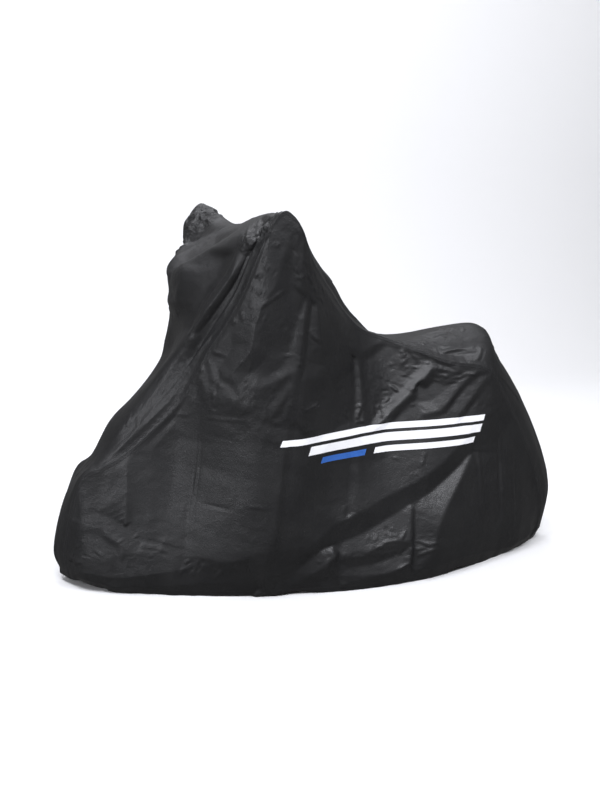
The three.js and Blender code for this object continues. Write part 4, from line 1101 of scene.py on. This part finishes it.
# Studio: a pale paper sweep, floor and wall in one, with soft lights and a grey room around it.
# In metres: its two sides, its front edge, where its bend starts, the bend's radius, and its top.
SWEEP_X = (-9.0, 9.0)
SWEEP_FRONT, BEND_AT, BEND, WALL_TOP = -6.0, 3.0, 1.6, 7.0
sweep_yz = [(SWEEP_FRONT, 0.0), (BEND_AT, 0.0)]
for a in np.linspace(0.1, math.pi / 2, 16):
    sweep_yz.append((BEND_AT + BEND * math.sin(a), BEND - BEND * math.cos(a)))
sweep_yz.append((BEND_AT + BEND, WALL_TOP))
sweep_points = [(x, y, z) for y, z in sweep_yz for x in SWEEP_X]
sweep_faces = [(2 * k, 2 * k + 1, 2 * k + 3, 2 * k + 2) for k in range(len(sweep_yz) - 1)]
floor_mesh = bpy.data.meshes.new("paper_sweep")
floor_mesh.from_pydata(sweep_points, [], sweep_faces)
floor_mesh.polygons.foreach_set("use_smooth", np.ones(len(floor_mesh.polygons), bool))
floor = bpy.data.objects.new("paper_sweep", floor_mesh)
bpy.context.scene.collection.objects.link(floor)
paper = bpy.data.materials.new("pale_paper")
paper.use_nodes = True
paper.node_tree.nodes["Principled BSDF"].inputs["Base Color"].default_value = (0.9, 0.9, 0.9, 1)
paper.node_tree.nodes["Principled BSDF"].inputs["Roughness"].default_value = 0.95
paper.node_tree.nodes["Principled BSDF"].inputs["Specular IOR Level"].default_value = 0.1
floor_mesh.materials.append(paper)
floor.visible_glossy = False


def soft_light(name, place, aim, size, power):
    """A large flat lamp of slightly cool light; places in metres, power in watts."""
    data = bpy.data.lights.new(name, "AREA")
    data.shape = "RECTANGLE"
    data.size, data.size_y = size
    data.energy = power
    data.color = (0.94, 0.95, 1.0)
    lamp = bpy.data.objects.new(name, data)
    bpy.context.scene.collection.objects.link(lamp)
    way = np.array(aim, float) - np.array(place, float)
    lamp.location = place
    turn = math.atan2(way[1], way[0])
    lamp.rotation_euler = (math.acos(-way[2] / np.linalg.norm(way)), 0, turn - math.pi / 2)


soft_light("low left", (-3.4, -2.2, 1.5), (0, 0, 0.6), (1.6, 1.6), 40)
soft_light("high left", (-2.0, -1.6, 5.2), (0, 0, 0.6), (1.6, 1.6), 120)
soft_light("high middle", (-0.8, -3.4, 4.4), (0, 0, 0.6), (1.6, 1.6), 110)
soft_light("high right", (1.8, -3.2, 4.2), (0, 0, 0.6), (1.6, 1.6), 125)
soft_light("behind", (0.2, 2.2, 3.4), (0, 0, 0.6), (3.0, 1.4), 30)
soft_light("wall", (0, 1.2, 5.0), (0, 4.6, 1.2), (8.0, 1.5), 150)

world = bpy.data.worlds.new("studio")
bpy.context.scene.world = world
world.use_nodes = True
world.node_tree.nodes["Background"].inputs["Color"].default_value = (1, 1, 1, 1)
world.node_tree.nodes["Background"].inputs["Strength"].default_value = 0.14
bpy.context.scene.view_settings.view_transform = "Standard"

# Camera at the photograph's angle: 16 degrees towards the nose, 11.3 degrees down, 50 mm lens.
AIM = (-0.070 + MIDDLE_X / 1000, MIDDLE_Y / 1000, 0.57)
TURN, TILT, AWAY = math.radians(-16.0), math.radians(11.3), 3.85
camera_data = bpy.data.cameras.new("camera")
camera_data.lens = 50
camera_data.sensor_width = 36
camera = bpy.data.objects.new("camera", camera_data)
bpy.context.scene.collection.objects.link(camera)
camera.location = (AIM[0] + AWAY * math.sin(TURN) * math.cos(TILT),
                   AIM[1] - AWAY * math.cos(TURN) * math.cos(TILT),
                   AIM[2] + AWAY * math.sin(TILT))
camera.rotation_euler = (math.pi / 2 - TILT, 0, TURN)
bpy.context.scene.camera = camera
